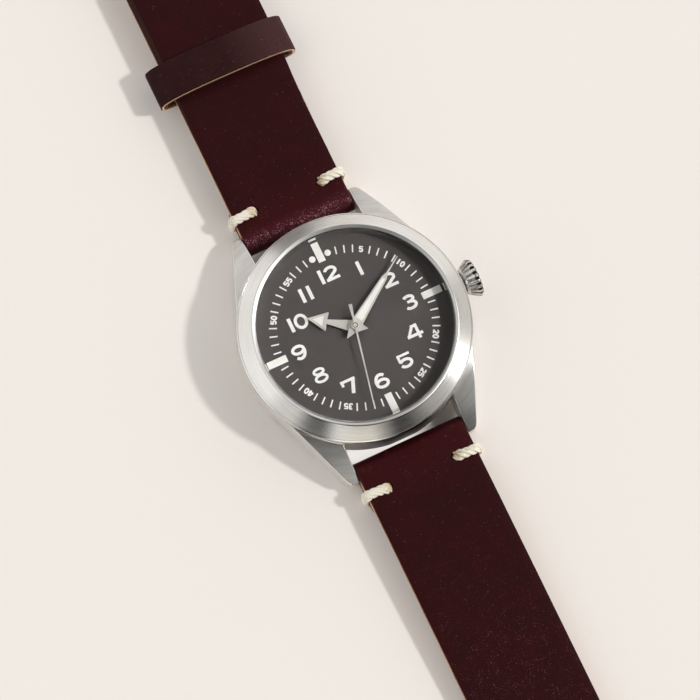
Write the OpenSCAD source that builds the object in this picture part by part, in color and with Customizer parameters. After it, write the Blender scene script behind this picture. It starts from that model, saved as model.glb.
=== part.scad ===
// Pilot watch lying open on its case back, strap stretched out to both sides.
// Origin: middle of the case back's outer face. +Z up along the hands' axis,
// +Y towards twelve o'clock, +X towards the crown. Millimetres.

/* [Case] */
// Diameter of the case band
case_d = 39.2; // [38.8:0.1:40.4]
// Height of the case band
band_h = 6.7; // [6.5:0.1:7.4]
// Height that the case back stands proud of the band
back_proud = 1.2; // [1.1:0.1:1.5]
// How far the case back plate stays inside the band's edge
back_inset = 2; // [1.6:0.1:2.3]
// Thickness of the band's wall round the movement
case_wall = 4.4; // [4.2:0.1:4.5]
// Chamfer round the foot of the band
foot_chamfer = 0.8; // [0.4:0.1:1]

/* [Lugs] */
// Distance between the tips of opposite lugs
lug_span = 46.8; // [46.2:0.1:48]
// Clear gap between a pair of lugs
lug_gap = 20.1; // [19.6:0.1:20.6]
// Inward lean of the lugs' outer faces in degrees
lug_lean = 22; // [20:0.5:23]
// Height of the lugs' top edge at the tip, over the table
lug_tip_h = 3.5; // [3.3:0.1:4]
// Radius of the curve along the top of the lugs
lug_curve_r = 26; // [22:1:40]
// Corner radius of the lug tips, seen from above
lug_corner_r = 1.3; // [0.8:0.1:1.6]

/* [Bezel and crystal] */
// How far the bezel stands out over the band
bezel_over = 0.15; // [0:0.05:0.4]
// Height of the bezel over the band
bezel_h = 2.8; // [2.7:0.1:3.2]
// Width of the bezel's sloped face, seen from above
slope_w = 2.55; // [2.3:0.05:2.7]
// Height of the upright rim under the sloped face
bezel_rim_h = 0.6; // [0.4:0.1:0.8]
// Width of the whole bezel from its rim to the crystal, seen from above
bezel_w = 3.2; // [3.1:0.05:3.3]
// Thickness of the crystal
crystal_t = 1.2; // [1:0.1:1.3]

/* [Dial and hands] */
// Thickness of the band's wall round the dial
dial_wall = 2.7; // [2.6:0.05:2.8]
// Thickness of the dial plate
dial_t = 0.4; // [0.3:0.05:0.5]
// Length of the hour hand from its axis to its tip
hour_len = 8.05; // [7:0.05:9]
// Width of the hour hand's arrow head
hour_head_w = 3.3; // [2.6:0.1:4]
// Length of the minute hand
minute_len = 14; // [12.5:0.1:14.6]
// Greatest width of the minute hand
minute_w = 1.8; // [1.5:0.1:2.2]
// Length of the seconds hand
second_len = 14.2; // [12.5:0.1:15]
// Length of the seconds hand's counterweight
second_tail = 3.7; // [3:0.1:4.5]
// Thickness of a hand's blade
hand_t = 0.15; // [0.1:0.01:0.18]
// Length of the bars at the quarters
bar_len = 3.5; // [2.5:0.1:3.8]
// Width of the bars at the quarters
bar_w = 1.25; // [1:0.05:1.6]

/* [Movement] */
// Width of the ring that holds the movement in the case
holder_w = 2.4; // [2.2:0.05:2.6]
// Thickness of the main plate
plate_t = 1.7; // [1.6:0.05:1.8]
// Diameter of the button cell
cell_d = 6.8; // [6:0.1:7]
// Height of the button cell
cell_h = 2.6; // [2.1:0.1:2.6]
// Length of the coil winding
coil_len = 8; // [6:0.5:8.5]
// Diameter of the rotor magnet
magnet_d = 1.3; // [1:0.05:1.4]

/* [Gear train] */
// Leaves of the rotor, fifth, fourth and third pinions
leaves = 8; // [7:1:9]
// Teeth of the fifth wheel
fifth_teeth = 48; // [40:1:54]
// Teeth of the fourth wheel, which carries the seconds hand
fourth_teeth = 40; // [36:1:44]
// Teeth of the third wheel
third_teeth = 60; // [54:1:64]
// Teeth of the centre wheel
centre_teeth = 64; // [56:1:68]
// Teeth of the cannon pinion, which carries the minute hand
cannon_teeth = 12; // [11:1:13]
// Teeth of the minute wheel
minute_teeth = 36; // [33:1:38]
// Leaves of the minute wheel's pinion
minute_leaves = 10; // [10:1:11]
// Teeth of the hour wheel
hour_teeth = 40; // [38:1:42]
// Teeth of the setting wheel
setting_teeth = 24; // [22:1:26]

/* [Crown] */
// Largest diameter of the crown
crown_d = 6.7; // [6.2:0.1:7.2]
// Diameter of the crown where it meets the case
crown_root_d = 4.5; // [4.2:0.1:5]
// Length of the crown
crown_len = 2.7; // [2.6:0.1:3.2]
// Gap between the case band and the crown
crown_gap = 0.8; // [0.5:0.1:1]
// Number of flutes round the crown
flutes = 20; // [16:1:22]
// Width of a flute
flute_w = 0.5; // [0.35:0.05:0.6]
// Diameter of the winding stem
stem_d = 0.9; // [0.8:0.05:0.95]

/* [Strap] */
// Width of the strap
strap_w = 19.8; // [19:0.1:20]
// Thickness of the strap leather
strap_t = 2.3; // [2:0.1:2.5]
// Thickness of the leather where it loops round a bar
loop_t = 1.25; // [1.1:0.05:1.4]
// Length of the buckle piece from bar to bar
short_len = 75; // [70:1:85]
// Length of the hole piece from the bar to its tip
long_len = 118; // [112:1:130]
// Length over which the hole piece sinks from its bar to the table
long_settle = 80; // [70:1:84]
// Number of adjustment holes
hole_count = 7; // [5:1:8]
// Distance between adjustment holes
hole_pitch = 7; // [6:0.5:8]
// Diameter of an adjustment hole
hole_d = 2; // [1.6:0.1:2.4]
// Distance of the lug stitches from the spring bar
stitch_at = 4.6; // [4.2:0.1:5.2]
// Width of a lug stitch
stitch_w = 1.8; // [1.4:0.1:2]
// Thickness of a lug stitch
stitch_t = 0.7; // [0.5:0.05:0.8]

/* [Keepers] */
// Outer width of a keeper loop
keeper_w = 25.4; // [24.6:0.1:26]
// Length of a keeper along the strap
keeper_len = 6.7; // [6:0.1:7.5]
// Thickness of the keeper leather
keeper_t = 1.2; // [1:0.05:1.25]
// Clear height inside the free keeper
keeper_room = 3.3; // [3:0.1:4]
// Distance of the free keeper's middle from the spring bar, as it lies
keeper_at = 31.3; // [28:0.5:40]
// Height at which the stiff leather holds the keepers over the table
keeper_foot = 1.4; // [1:0.1:1.6]

/* [Buckle] */
// Thickness of the buckle's side arms, measured across the strap
arm_w = 2.25; // [1.8:0.05:2.6]
// Distance from the buckle pin to the middle of the cross bar
buckle_reach = 10.4; // [9.5:0.1:12]
// Diameter of the cross bar
cross_d = 2.4; // [2:0.1:2.5]
// Width of the tongue
tongue_w = 2.4; // [2:0.1:2.6]
// Diameter of the spring bars and of the buckle pin
bar_d = 1.5; // [1.3:0.1:1.6]

/* [Fits] */
// Radial clearance of a turning shaft in its hole
run_gap = 0.05; // [0.03:0.01:0.07]
// Gap between parts that are assembled without play
seat_gap = 0.02; // [0.01:0.01:0.04]

/* [Hidden] */
$fn = 48;
eps = 0.01;

// Heights of the case, from the table up
band_z0 = back_proud;
band_z1 = back_proud + band_h;
bezel_slit = 0.15;
neck_h = 0.45;
dial_rise = 0.1;
dial_z = band_z1 + dial_rise;
plate_z1 = dial_z - dial_t;
bezel_z1 = band_z1 + bezel_h;
crystal_rise = 0.1;
crystal_z1 = bezel_z1 + crystal_rise;
crystal_z0 = crystal_z1 - crystal_t;

// Radii of the case
band_r = case_d / 2;
cavity_r = band_r - case_wall;
dial_r = band_r - dial_wall;
bezel_r = band_r + bezel_over;
bezel_top_r = bezel_r - slope_w;
crystal_r = bezel_r - bezel_w;
back_r = band_r - back_inset;
neck_wall = 1.95;
neck_r = dial_r + seat_gap + neck_wall;
lip_drop = 0.28;
lip_h = 0.3;
gasket_w = 0.5;
back_thread_h = 1.0;
back_thread_w = 0.95;
back_gasket_r = cavity_r + 1;
back_gasket_d = 0.56;

// Strap seat between the lugs
bar_r = bar_d / 2;
loop_r = bar_r + run_gap + loop_t;
bar_inset = 1.7;
bar_y = lug_span / 2 - bar_inset;
loop_lift = 0.4;
bar_z = loop_lift + loop_r;
facet_gap = 0.2;
facet_y = bar_y - loop_r - facet_gap;
tip_pin_r = 0.4;
tip_pin_depth = 1.1;
bar_tube_half = lug_gap / 2 - 1.85;
tip_bore_depth = 3.2;
tip_flange_x = lug_gap / 2 - 0.65;

// Feet under the dial: direction and distance from its middle
dial_foot_dirs = [46, 226];
dial_foot_dist = 11.3;

// Heights of the movement, counted down from the dial's underside
plate_z0 = plate_z1 - plate_t;
plate_r = cavity_r - holder_w;
motion_z = plate_z1 - 0.95;
minute_wheel_z = plate_z1 - 0.8;
hour_wheel_z = plate_z1 - 0.4;
train_room = 1.85;
bridge_t = 0.4;
bridge_z1 = plate_z0 - train_room;
bridge_z0 = bridge_z1 - bridge_t;
centre_wheel_z = plate_z0 - 0.45;
third_wheel_z = plate_z0 - 0.95;
fourth_wheel_z = plate_z0 - 1.45;
fifth_wheel_z = plate_z0 - 1.75;
wheel_t = 0.2;
stem_drop = 2.6;
stem_z = plate_z1 - stem_drop;
stem_r = stem_d / 2;

// Legs of the train bridge, posts of the circuit board, and their screws
bridge_legs = [[4.9, 2.9], [-3.6, 4.4], [0.9, -4.2]];
board_posts = [[8.3, -4.4], [2.4, -10.2]];
screw_r = 0.3;
screw_head_r = 0.6;
screw_head_h = 0.35;

// Gear centres: each pair's module follows from its centre distance
third_dist = 2.88;
third_dir = 75;
fifth_dist = 3.0;
fifth_dir = 200;
rotor_dist = 2.1;
rotor_dir = 160;
minute_dist = 2.4;
setting_dist = 3.0;
function polar(r, a) = [r * cos(a), r * sin(a)];
third_at = polar(third_dist, third_dir);
fifth_at = polar(fifth_dist, fifth_dir);
rotor_at = fifth_at + polar(rotor_dist, rotor_dir);
minute_at = [minute_dist, 0];
setting_at = [minute_dist + setting_dist, 0];
function module_of(dist, a, b) = 2 * dist / (a + b);
centre_m = module_of(third_dist, leaves, centre_teeth);
third_m = module_of(third_dist, leaves, third_teeth);
fourth_m = module_of(fifth_dist, leaves, fourth_teeth);
fifth_m = module_of(rotor_dist, leaves, fifth_teeth);
cannon_m = module_of(minute_dist, cannon_teeth, minute_teeth);
hour_m = module_of(minute_dist, minute_leaves, hour_teeth);
setting_m = module_of(setting_dist, minute_teeth, setting_teeth);

// Turn of gear b that puts its gap against a's tooth, a lying turned by turn_a
// and b standing in direction dir from it
function mesh_turn(dir, turn_a, a, b) = dir + 180 + 180 / b + (dir - turn_a) * a / b;
fourth_turn = 0;
third_turn = mesh_turn(third_dir, fourth_turn, leaves, third_teeth);
centre_turn = mesh_turn(third_dir + 180, third_turn, leaves, centre_teeth);
fifth_turn = mesh_turn(fifth_dir, fourth_turn, fourth_teeth, leaves);
rotor_turn = mesh_turn(rotor_dir, fifth_turn, fifth_teeth, leaves);
minute_turn = mesh_turn(0, centre_turn, cannon_teeth, minute_teeth);
hour_turn = mesh_turn(180, minute_turn, minute_leaves, hour_teeth);
setting_turn = mesh_turn(0, minute_turn, minute_teeth, setting_teeth);

// Shafts
pivot_r = 0.08;
arbor_r = 0.12;
pipe_r = 0.3;
cannon_r = 0.45;
hour_pipe_r = 0.72;
post_r = 0.2;

// Heights of the hands
hour_hand_z = dial_z + 0.5;
minute_hand_z = dial_z + 0.88;
second_hand_z = dial_z + 1.24;
pipe_stand = 0.05;
hour_head_len = 3.4;

// Clock angles of the hands at rest: nine minutes past ten
hour_angle = 304.7;
minute_angle = 56;
second_angle = 192.6;

// Crown and stem, measured along +X
crown_x = band_r + crown_gap;
crown_r = crown_d / 2;
tube_r = 1.25;
tube_reach = 1.5;
crown_bore_r = 1.75;
crown_bore_len = 1.65;
pinion_x = setting_at[0] + setting_m * (setting_teeth / 2 + 1) + 0.35;
pinion_len = 1.5;
pinion_r = 1.4;
stem_groove_x = pinion_x + 2.95;
stem_groove_w = 0.4;
lever_arm = 3.64;
lever_pin_r = 0.13;
lever_pin_y = 0.36;
lever_at = [stem_groove_x, lever_pin_y + lever_arm];

// The cell lies at the movement's edge
cell_at = polar(plate_r - cell_d / 2 - 0.6, 249);
cell_r = cell_d / 2;
coil_inset = 3.2;
coil_at = [coil_inset - plate_r, 0];
coil_r = 0.95;
coil_z = plate_z0 - 1;
stator_z = plate_z0 - 1.2;

// Strap course: heights of the leather's underside where it runs flat, and how soon it does
short_flat_z = keeper_foot + keeper_t + 0.1;
long_flat_z = 0.05;
short_settle = 13;
flap_len = 7;
buckle_y = bar_y + short_len;
buckle_z = short_flat_z + strap_t / 2;
stitch_x = 6;
cut_h = band_z1 + 2;

// Buckle: inner face of the side arms, and height of the cross bar
arm_x = strap_w / 2 + 0.4;
cross_z = cross_d / 2 + 0.08;

// Shapes used by several parts

module tube(z0, z1, r_out, r_in) {
    translate([0, 0, z0]) difference() {
        cylinder(h = z1 - z0, r = r_out);
        translate([0, 0, -eps]) cylinder(h = z1 - z0 + 2 * eps, r = r_in);
    }
}

module rod(z0, z1, r) {
    translate([0, 0, z0]) cylinder(h = z1 - z0, r = r);
}

// A cylinder along X from x0 to x1
module rod_x(x0, x1, r) {
    translate([x0, 0, 0]) rotate([0, 90, 0]) cylinder(h = x1 - x0, r = r);
}

module box(x0, x1, y0, y1, z0, z1) {
    translate([x0, y0, z0]) cube([x1 - x0, y1 - y0, z1 - z0]);
}

// An outline in the Y-Z plane, extruded along X and centred on x = 0
module side_extrude(width) {
    rotate([90, 0, 90]) linear_extrude(height = width, center = true) children();
}

// The same part at twelve and at six o'clock
module both_ends() {
    children();
    mirror([0, 1, 0]) children();
}

module both_sides() {
    children();
    mirror([1, 0, 0]) children();
}

// Toothed outline with straight flanks and narrowed tips
module teeth_2d(count, m, turn) {
    pitch = 360 / count;
    root_r = m * (count / 2 - 1.2);
    pitch_r = m * count / 2;
    tip_r = m * (count / 2 + 0.95);
    half = [[0.26, root_r], [0.22, pitch_r], [0.1, tip_r]];
    tooth = concat([for (p = half) [-p[0], p[1]]], [half[2], half[1], half[0]]);
    polygon([for (k = [0:count - 1], p = tooth) polar(p[1], turn + (k + p[0]) * pitch)]);
}

// Wheel disc with round lightening holes and a bored middle
module wheel(z, t, count, m, turn, bore_r, holes = 4) {
    ring_mid = (m * (count / 2 - 1.2) + 0.6) / 2;
    hole_r = (m * (count / 2 - 1.2) - 0.6) / 2 - 0.2;
    translate([0, 0, z]) linear_extrude(height = t) difference() {
        teeth_2d(count, m, turn);
        if (bore_r > 0) circle(r = bore_r);
        for (k = [0:holes - 1]) translate(polar(ring_mid, 45 + k * 360 / holes)) circle(r = hole_r);
    }
}

module pinion(z, t, count, m, turn, bore_r = 0) {
    translate([0, 0, z]) linear_extrude(height = t) difference() {
        teeth_2d(count, m, turn);
        if (bore_r > 0) circle(r = bore_r);
    }
}

// Case

// The lug at +X +Y from above: its outer face leans inwards and just enters the band
module lug_plan() {
    reach = lug_span / 2;
    face = band_r - 0.06;
    function face_x(y, inset = 0) = (face - inset - y * sin(lug_lean)) / cos(lug_lean);
    corner_y = reach - lug_corner_r;
    corner = [face_x(corner_y, lug_corner_r), corner_y];
    touch = corner + polar(lug_corner_r, lug_lean);
    root_y = face * sin(lug_lean);
    difference() {
        polygon([[lug_gap / 2, root_y], [face_x(root_y), root_y],
            [face_x(reach), reach], [lug_gap / 2, reach]]);
        difference() {
            polygon([corner, touch, [face_x(reach), reach] + [0.5, 0.5], [corner[0], reach + 0.5]]);
            translate(corner) circle(r = lug_corner_r);
        }
    }
}

// The lug from the side: an arc over the top, the underside drawn down to the tip
module lug_profile() {
    reach = lug_span / 2;
    top = [12, band_z1 - 0.6];
    tip = [reach, lug_tip_h];
    chord = tip - top;
    half = norm(chord) / 2;
    up = [-chord[1], chord[0]] / norm(chord);
    middle = (top + tip) / 2 - up * sqrt(lug_curve_r * lug_curve_r - half * half);
    intersection() {
        translate(middle) circle(r = lug_curve_r, $fn = 180);
        polygon([[4, band_z0], [4, band_z1], [reach, band_z1], [reach, 1.1], [reach - 0.7, loop_lift - 0.05],
            [bar_y - 0.6, loop_lift - 0.05], [bar_y - 5.5, band_z0]]);
    }
}

module lug() {
    intersection() {
        linear_extrude(height = band_z1) lug_plan();
        side_extrude(case_d) lug_profile();
    }
}

module mid_case() {
    color("silver") difference() {
        union() {
            rotate_extrude($fn = 180) polygon([[0, band_z0], [band_r - foot_chamfer, band_z0],
                [band_r, band_z0 + foot_chamfer], [band_r, band_z1], [neck_r, band_z1],
                [neck_r, band_z1 + neck_h], [0, band_z1 + neck_h]]);
            both_ends() both_sides() lug();
        }
        rod(band_z0 - eps, band_z1, cavity_r, $fn = 180);
        rod(plate_z1, band_z1 + 1, dial_r + seat_gap, $fn = 180);
        tube(band_z0 - eps, band_z0 + back_gasket_d + seat_gap, back_gasket_r + back_gasket_d / 2 + seat_gap,
            back_gasket_r - back_gasket_d / 2 - seat_gap);
        both_ends() {
            box(-lug_gap / 2, lug_gap / 2, facet_y, lug_span, 0, band_z1 + 1);
            both_sides() translate([lug_gap / 2 - 0.2, bar_y, bar_z])
                rod_x(0, tip_pin_depth + 0.4, tip_pin_r + run_gap);
        }
        translate([0, 0, stem_z]) {
            rod_x(cavity_r - 1, band_r + 1, stem_r + 2 * run_gap);
            rod_x(band_r - 2, band_r + 1, tube_r + seat_gap);
        }
    }
}

module bezel() {
    slope_z = band_z1 + bezel_slit + bezel_rim_h;
    lip_z = bezel_z1 - lip_drop;
    groove_r = crystal_r + gasket_w + 2 * seat_gap;
    color("silver") rotate_extrude($fn = 180) polygon([
        [neck_r + seat_gap, band_z1 + bezel_slit], [bezel_r - 0.1, band_z1 + bezel_slit],
        [bezel_r, band_z1 + bezel_slit + 0.1], [bezel_r, slope_z],
        [bezel_top_r, bezel_z1], [crystal_r + 0.05, lip_z], [crystal_r + 0.05, lip_z - lip_h],
        [groove_r, lip_z - lip_h], [groove_r, crystal_z0 - 0.2], [dial_r + seat_gap, crystal_z0 - 0.25],
        [dial_r + seat_gap, band_z1 + neck_h + seat_gap], [neck_r + seat_gap, band_z1 + neck_h + seat_gap]]);
}

module crystal() {
    edge = 0.12;
    color("lightcyan", 0.35) rotate_extrude($fn = 180) polygon([
        [0, crystal_z0], [crystal_r - edge, crystal_z0], [crystal_r, crystal_z0 + edge],
        [crystal_r, crystal_z1 - edge], [crystal_r - edge, crystal_z1], [0, crystal_z1]]);
}

module crystal_gasket() {
    color("white") tube(crystal_z0 - 0.15, bezel_z1 - lip_drop - lip_h - seat_gap,
        crystal_r + gasket_w + seat_gap, crystal_r + seat_gap, $fn = 180);
}

// Polished ring between the dial and the crystal
module rehaut_ring() {
    top_z = crystal_z0 - 0.25;
    color("silver") rotate_extrude($fn = 180) polygon([[dial_r - 0.65, dial_z], [dial_r, dial_z],
        [dial_r, top_z - 0.1], [dial_r - 0.1, top_z], [dial_r - 0.4, top_z]]);
}

module dial() {
    foot_r = 0.35;
    color("dimgray") {
        difference() {
            rod(plate_z1, dial_z, dial_r, $fn = 180);
            rod(plate_z1 - 1, dial_z + 1, hour_pipe_r + 0.12);
        }
        for (a = dial_foot_dirs) translate(polar(dial_foot_dist, a))
            rod(plate_z1 - 0.9, plate_z1 + 0.1, foot_r);
    }
}

// Luminous bars at the quarters and the dots beside twelve, raised from the dial
module quarter_markers() {
    lume_h = 0.1;
    bar_end = dial_r - 0.9;
    dot_dist = dial_r - 3.3;
    dot_r = 0.55;
    minute = 6;
    color("white") translate([0, 0, dial_z]) {
        for (a = [0, 90, 180, 270]) rotate([0, 0, a])
            translate([bar_end - bar_len, -bar_w / 2, 0]) cube([bar_len, bar_w, lume_h]);
        for (a = [90 - minute, 90 + minute]) translate(polar(dot_dist, a)) cylinder(h = lume_h, r = dot_r);
    }
}

module movement_ring() {
    z0 = band_z0 + back_thread_h + 0.1;
    color("whitesmoke") difference() {
        tube(z0, plate_z1 - 0.1, cavity_r - 0.1, plate_r + seat_gap, $fn = 120);
        translate([0, 0, stem_z]) rod_x(0, cavity_r + 1, stem_r + 2 * run_gap);
    }
}

module case_back() {
    edge = 0.4;
    collar_r = cavity_r - seat_gap;
    collar_z = band_z0 + back_thread_h;
    inner_r = cavity_r - back_thread_w;
    inner_z = band_z0 + 0.3;
    color("silver") rotate_extrude($fn = 180) polygon([
        [0, 0], [back_r - edge, 0], [back_r, edge], [back_r, band_z0], [collar_r, band_z0],
        [collar_r, collar_z], [inner_r, collar_z], [inner_r, inner_z], [0, inner_z]]);
}

module case_back_gasket() {
    color("black") translate([0, 0, band_z0 + back_gasket_d / 2]) rotate_extrude($fn = 120)
        translate([back_gasket_r, 0]) circle(r = back_gasket_d / 2, $fn = 24);
}

module crown_tube() {
    color("silver") translate([0, 0, stem_z]) difference() {
        rod_x(band_r - 1.95, crown_x + tube_reach, tube_r);
        rod_x(band_r - 3, crown_x + tube_reach + 1, stem_r + run_gap);
    }
}

// Spring bars: a tube with a sprung pin at each end

module spring_bar() {
    translate([0, bar_y, bar_z]) difference() {
        rod_x(-bar_tube_half, bar_tube_half, bar_r);
        both_sides() rod_x(bar_tube_half - tip_bore_depth, bar_tube_half + 1, tip_pin_r + run_gap);
    }
}

module spring_bar_12() {
    color("gray") spring_bar();
}

module spring_bar_6() {
    color("gray") mirror([0, 1, 0]) spring_bar();
}

module bar_tip() {
    translate([0, bar_y, bar_z]) {
        rod_x(bar_tube_half - tip_bore_depth + 1.3, lug_gap / 2 + tip_pin_depth, tip_pin_r);
        rod_x(tip_flange_x, tip_flange_x + 0.3, bar_r - 0.1);
    }
}

module bar_tip_12_right() {
    color("silver") bar_tip();
}

module bar_tip_12_left() {
    color("silver") mirror([1, 0, 0]) bar_tip();
}

module bar_tip_6_right() {
    color("silver") mirror([0, 1, 0]) bar_tip();
}

module bar_tip_6_left() {
    color("silver") rotate([0, 0, 180]) bar_tip();
}

// Movement

module main_plate() {
    block_z0 = stem_z - 1;
    motion_r = max(hour_m * hour_teeth / 2, cannon_m * minute_teeth / 2) + 0.3;
    color("goldenrod") difference() {
        union() {
            rod(plate_z0, plate_z1, plate_r, $fn = 120);
            box(6.2, plate_r - 0.6, -2.4, 2.4, block_z0, plate_z1 - 0.5);
            translate(lever_at) rod(block_z0 + 0.05, plate_z0 + 0.1, 0.35);
            for (p = board_posts) translate(p) rod(bridge_z0 + 0.2, plate_z0 + 0.1, 0.6);
        }
        rod(motion_z, plate_z1 + 1, motion_r);
        translate(minute_at) rod(motion_z, plate_z1 + 1, motion_r);
        translate(setting_at) rod(motion_z - 0.5, plate_z1 + 1, setting_m * (setting_teeth / 2 + 1) + 0.15);
        rod(plate_z0 - 1, plate_z1, pipe_r + run_gap);
        translate(third_at) rod(plate_z0 - eps, plate_z0 + 0.4, pivot_r + 0.03);
        translate(fifth_at) rod(plate_z0 - eps, plate_z0 + 0.4, pivot_r + 0.03);
        translate(rotor_at) rod(plate_z0 - eps, plate_z0 + 0.4, pivot_r + 0.03);
        for (p = bridge_legs) translate(p) rod(plate_z0 - eps, plate_z0 + 0.9, screw_r + seat_gap);
        for (a = dial_foot_dirs) translate(polar(dial_foot_dist, a)) rod(plate_z1 - 1.1, plate_z1 + 1, 0.4);
        translate([0, 0, stem_z]) rod_x(pinion_x, plate_r + 1, stem_r + run_gap);
        box(pinion_x - 0.1, pinion_x + pinion_len + 0.1, -pinion_r - 0.1, 2.6, block_z0 - eps,
            stem_z + pinion_r + 0.1);
        box(stem_groove_x - 0.4, stem_groove_x + 1.5, 0.05, 2.6, block_z0 - eps, stem_z + 0.4);
    }
    color("goldenrod") {
        translate(minute_at) rod(motion_z - 0.1, plate_z1 - 0.3, post_r);
        translate(setting_at) rod(motion_z - 0.6, plate_z1 - 0.3, post_r);
    }
}

module train_bridge() {
    left = rotor_at + [-1.1, 0];
    color("silver") difference() {
        union() {
            translate([0, 0, bridge_z0]) linear_extrude(height = bridge_t) {
                polygon([bridge_legs[0], bridge_legs[1], left, bridge_legs[2]]);
                for (p = bridge_legs) translate(p) circle(r = 0.9);
                translate(rotor_at) circle(r = 1);
            }
            for (p = bridge_legs) translate(p) rod(bridge_z1 - 0.1, plate_z0, 0.7);
        }
        for (p = [[0, 0], third_at, fifth_at, rotor_at]) translate(p)
            rod(bridge_z0 - 1, bridge_z1 + 1, pivot_r + 0.03);
        for (p = bridge_legs) translate(p) rod(bridge_z0 - 1, plate_z0 + 1, screw_r + seat_gap);
    }
}

module bridge_screws() {
    color("steelblue") for (p = bridge_legs) translate(p) difference() {
        union() {
            rod(bridge_z0 - screw_head_h, bridge_z0, screw_head_r);
            rod(bridge_z0 - 0.1, plate_z0 + 0.8, screw_r);
        }
        box(-1, 1, -0.08, 0.08, bridge_z0 - 0.5, bridge_z0 - screw_head_h / 2);
    }
}

// Button cell: a can and the smaller pole that stands below it
module battery() {
    color("silver") translate(cell_at) {
        rod(plate_z0 - cell_h + 0.25, plate_z0 - seat_gap, cell_r);
        rod(plate_z0 - cell_h, plate_z0 - cell_h + 0.3, cell_r - 0.7);
    }
}

// Bent strip that presses on the cell
module battery_clip() {
    clip_z = plate_z0 - cell_h - 0.2;
    post = [cell_at[0] + cell_r + 0.9, cell_at[1]];
    color("silver") difference() {
        union() {
            box(cell_at[0] - 2, post[0] + 0.6, cell_at[1] - 0.7, cell_at[1] + 0.7, clip_z, clip_z + 0.15);
            translate(post) rod(clip_z + 0.1, plate_z0, 0.45);
        }
        translate(cell_at) rod(clip_z - 1, clip_z + 1, 0.5);
    }
}

// Copper winding on a flat core whose ends meet the stator
module coil_block() {
    color("peru") translate([coil_at[0], 0, coil_z]) rotate([90, 0, 0])
        cylinder(h = coil_len, r = coil_r, center = true);
    color("dimgray") for (s = [-1, 1]) {
        y0 = s * (coil_len / 2 - 0.2);
        y1 = s * (coil_len / 2 + 2);
        box(coil_at[0] - 0.7, coil_at[0] + 0.7, min(y0, y1), max(y0, y1),
            stator_z - 0.32, stator_z - seat_gap);
    }
}

module stator() {
    ring_r = magnet_d / 2 + 0.65;
    end_y = coil_len / 2 + 0.7;
    color("darkgray") difference() {
        union() {
            translate(rotor_at) rod(stator_z, stator_z + 0.3, ring_r);
            for (s = [-1, 1]) translate([0, 0, stator_z]) linear_extrude(height = 0.3)
                polygon([rotor_at + [0.6, s * 0.9], rotor_at + [-0.9, s * 0.3],
                    [coil_at[0] + 0.9, s * end_y], [coil_at[0] - 0.7, s * end_y],
                    [coil_at[0] - 0.7, s * (end_y + 1.3)], [coil_at[0] + 0.9, s * (end_y + 1.3)]]);
        }
        translate(rotor_at) rod(stator_z - 1, stator_z + 1, magnet_d / 2 + 0.2);
    }
}

// Printed board with its chip and the quartz resonator's can
module circuit_board() {
    board_z = bridge_z0 + 0.02;
    can_r = 0.75;
    color("darkgreen") difference() {
        intersection() {
            rod(board_z, board_z + 0.16, plate_r - 0.5, $fn = 120);
            box(2, plate_r, -plate_r, -3.1, 0, plate_z0);
        }
        for (p = board_posts) translate(p) rod(bridge_z0 - 1, bridge_z1, 0.25);
    }
    color("black") box(3.2, 5.2, -6, -4, board_z + 0.16, board_z + 0.7);
    color("silver") translate([0, -8, board_z + 0.18 + can_r]) rod_x(4.2, 9, can_r);
}

// Spring finger that lies in the sliding pinion's groove
module yoke() {
    x = pinion_x + pinion_len / 2;
    color("silver") difference() {
        union() {
            box(x - 0.1, x + 0.1, 0.82, 3.2, stem_z - 0.25, stem_z + 0.25);
            box(x - 0.9, x + 0.1, 2.95, 4.6, stem_z - 0.25, stem_z - 0.05);
            translate([x - 0.5, 4]) rod(stem_z - 0.25, plate_z0, 0.35);
        }
        translate([x - 0.5, 4]) rod(stem_z - 1, stem_z + 0.3, 0.15);
    }
}

module dial_washer() {
    color("gold") tube(plate_z1 - 0.12, plate_z1 - 0.05, 1.8, hour_pipe_r + 0.1);
}

// Train

module arbor(z0, z1, r) {
    rod(z0, z1, r);
    rod(bridge_z0 + 0.05, z0 + eps, pivot_r);
}

module rotor() {
    color("dimgray") translate(rotor_at) {
        arbor(bridge_z1 + 0.02, plate_z0 - 0.1, arbor_r);
        rod(plate_z0 - 0.11, plate_z0 + 0.3, pivot_r);
        pinion(bridge_z1 + 0.03, 0.4, leaves, fifth_m, rotor_turn);
        rod(stator_z - 0.15, stator_z + 0.5, magnet_d / 2);
    }
}

module fifth_wheel() {
    color("gold") translate(fifth_at) {
        arbor(bridge_z1 + 0.02, plate_z0 - 0.1, arbor_r);
        rod(plate_z0 - 0.11, plate_z0 + 0.3, pivot_r);
        wheel(fifth_wheel_z, 0.15, fifth_teeth, fifth_m, fifth_turn, 0);
        pinion(fifth_wheel_z + 0.2, 0.4, leaves, fourth_m, fifth_turn);
        rod(fifth_wheel_z, fifth_wheel_z + 0.3, 0.3);
    }
}

module fourth_wheel() {
    color("gold") {
        arbor(bridge_z1 + 0.02, second_hand_z + hand_t + pipe_stand, arbor_r);
        wheel(fourth_wheel_z, wheel_t, fourth_teeth, fourth_m, fourth_turn, 0);
        pinion(fourth_wheel_z + 0.35, 0.4, leaves, third_m, fourth_turn);
        rod(fourth_wheel_z, fourth_wheel_z + 0.4, 0.25);
    }
}

module third_wheel() {
    color("gold") translate(third_at) {
        arbor(bridge_z1 + 0.02, plate_z0 - 0.05, arbor_r);
        rod(plate_z0 - 0.06, plate_z0 + 0.3, pivot_r);
        wheel(third_wheel_z, wheel_t, third_teeth, third_m, third_turn, 0);
        pinion(third_wheel_z + 0.3, 0.5, leaves, centre_m, third_turn);
        rod(third_wheel_z, third_wheel_z + 0.35, 0.25);
    }
}

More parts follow.
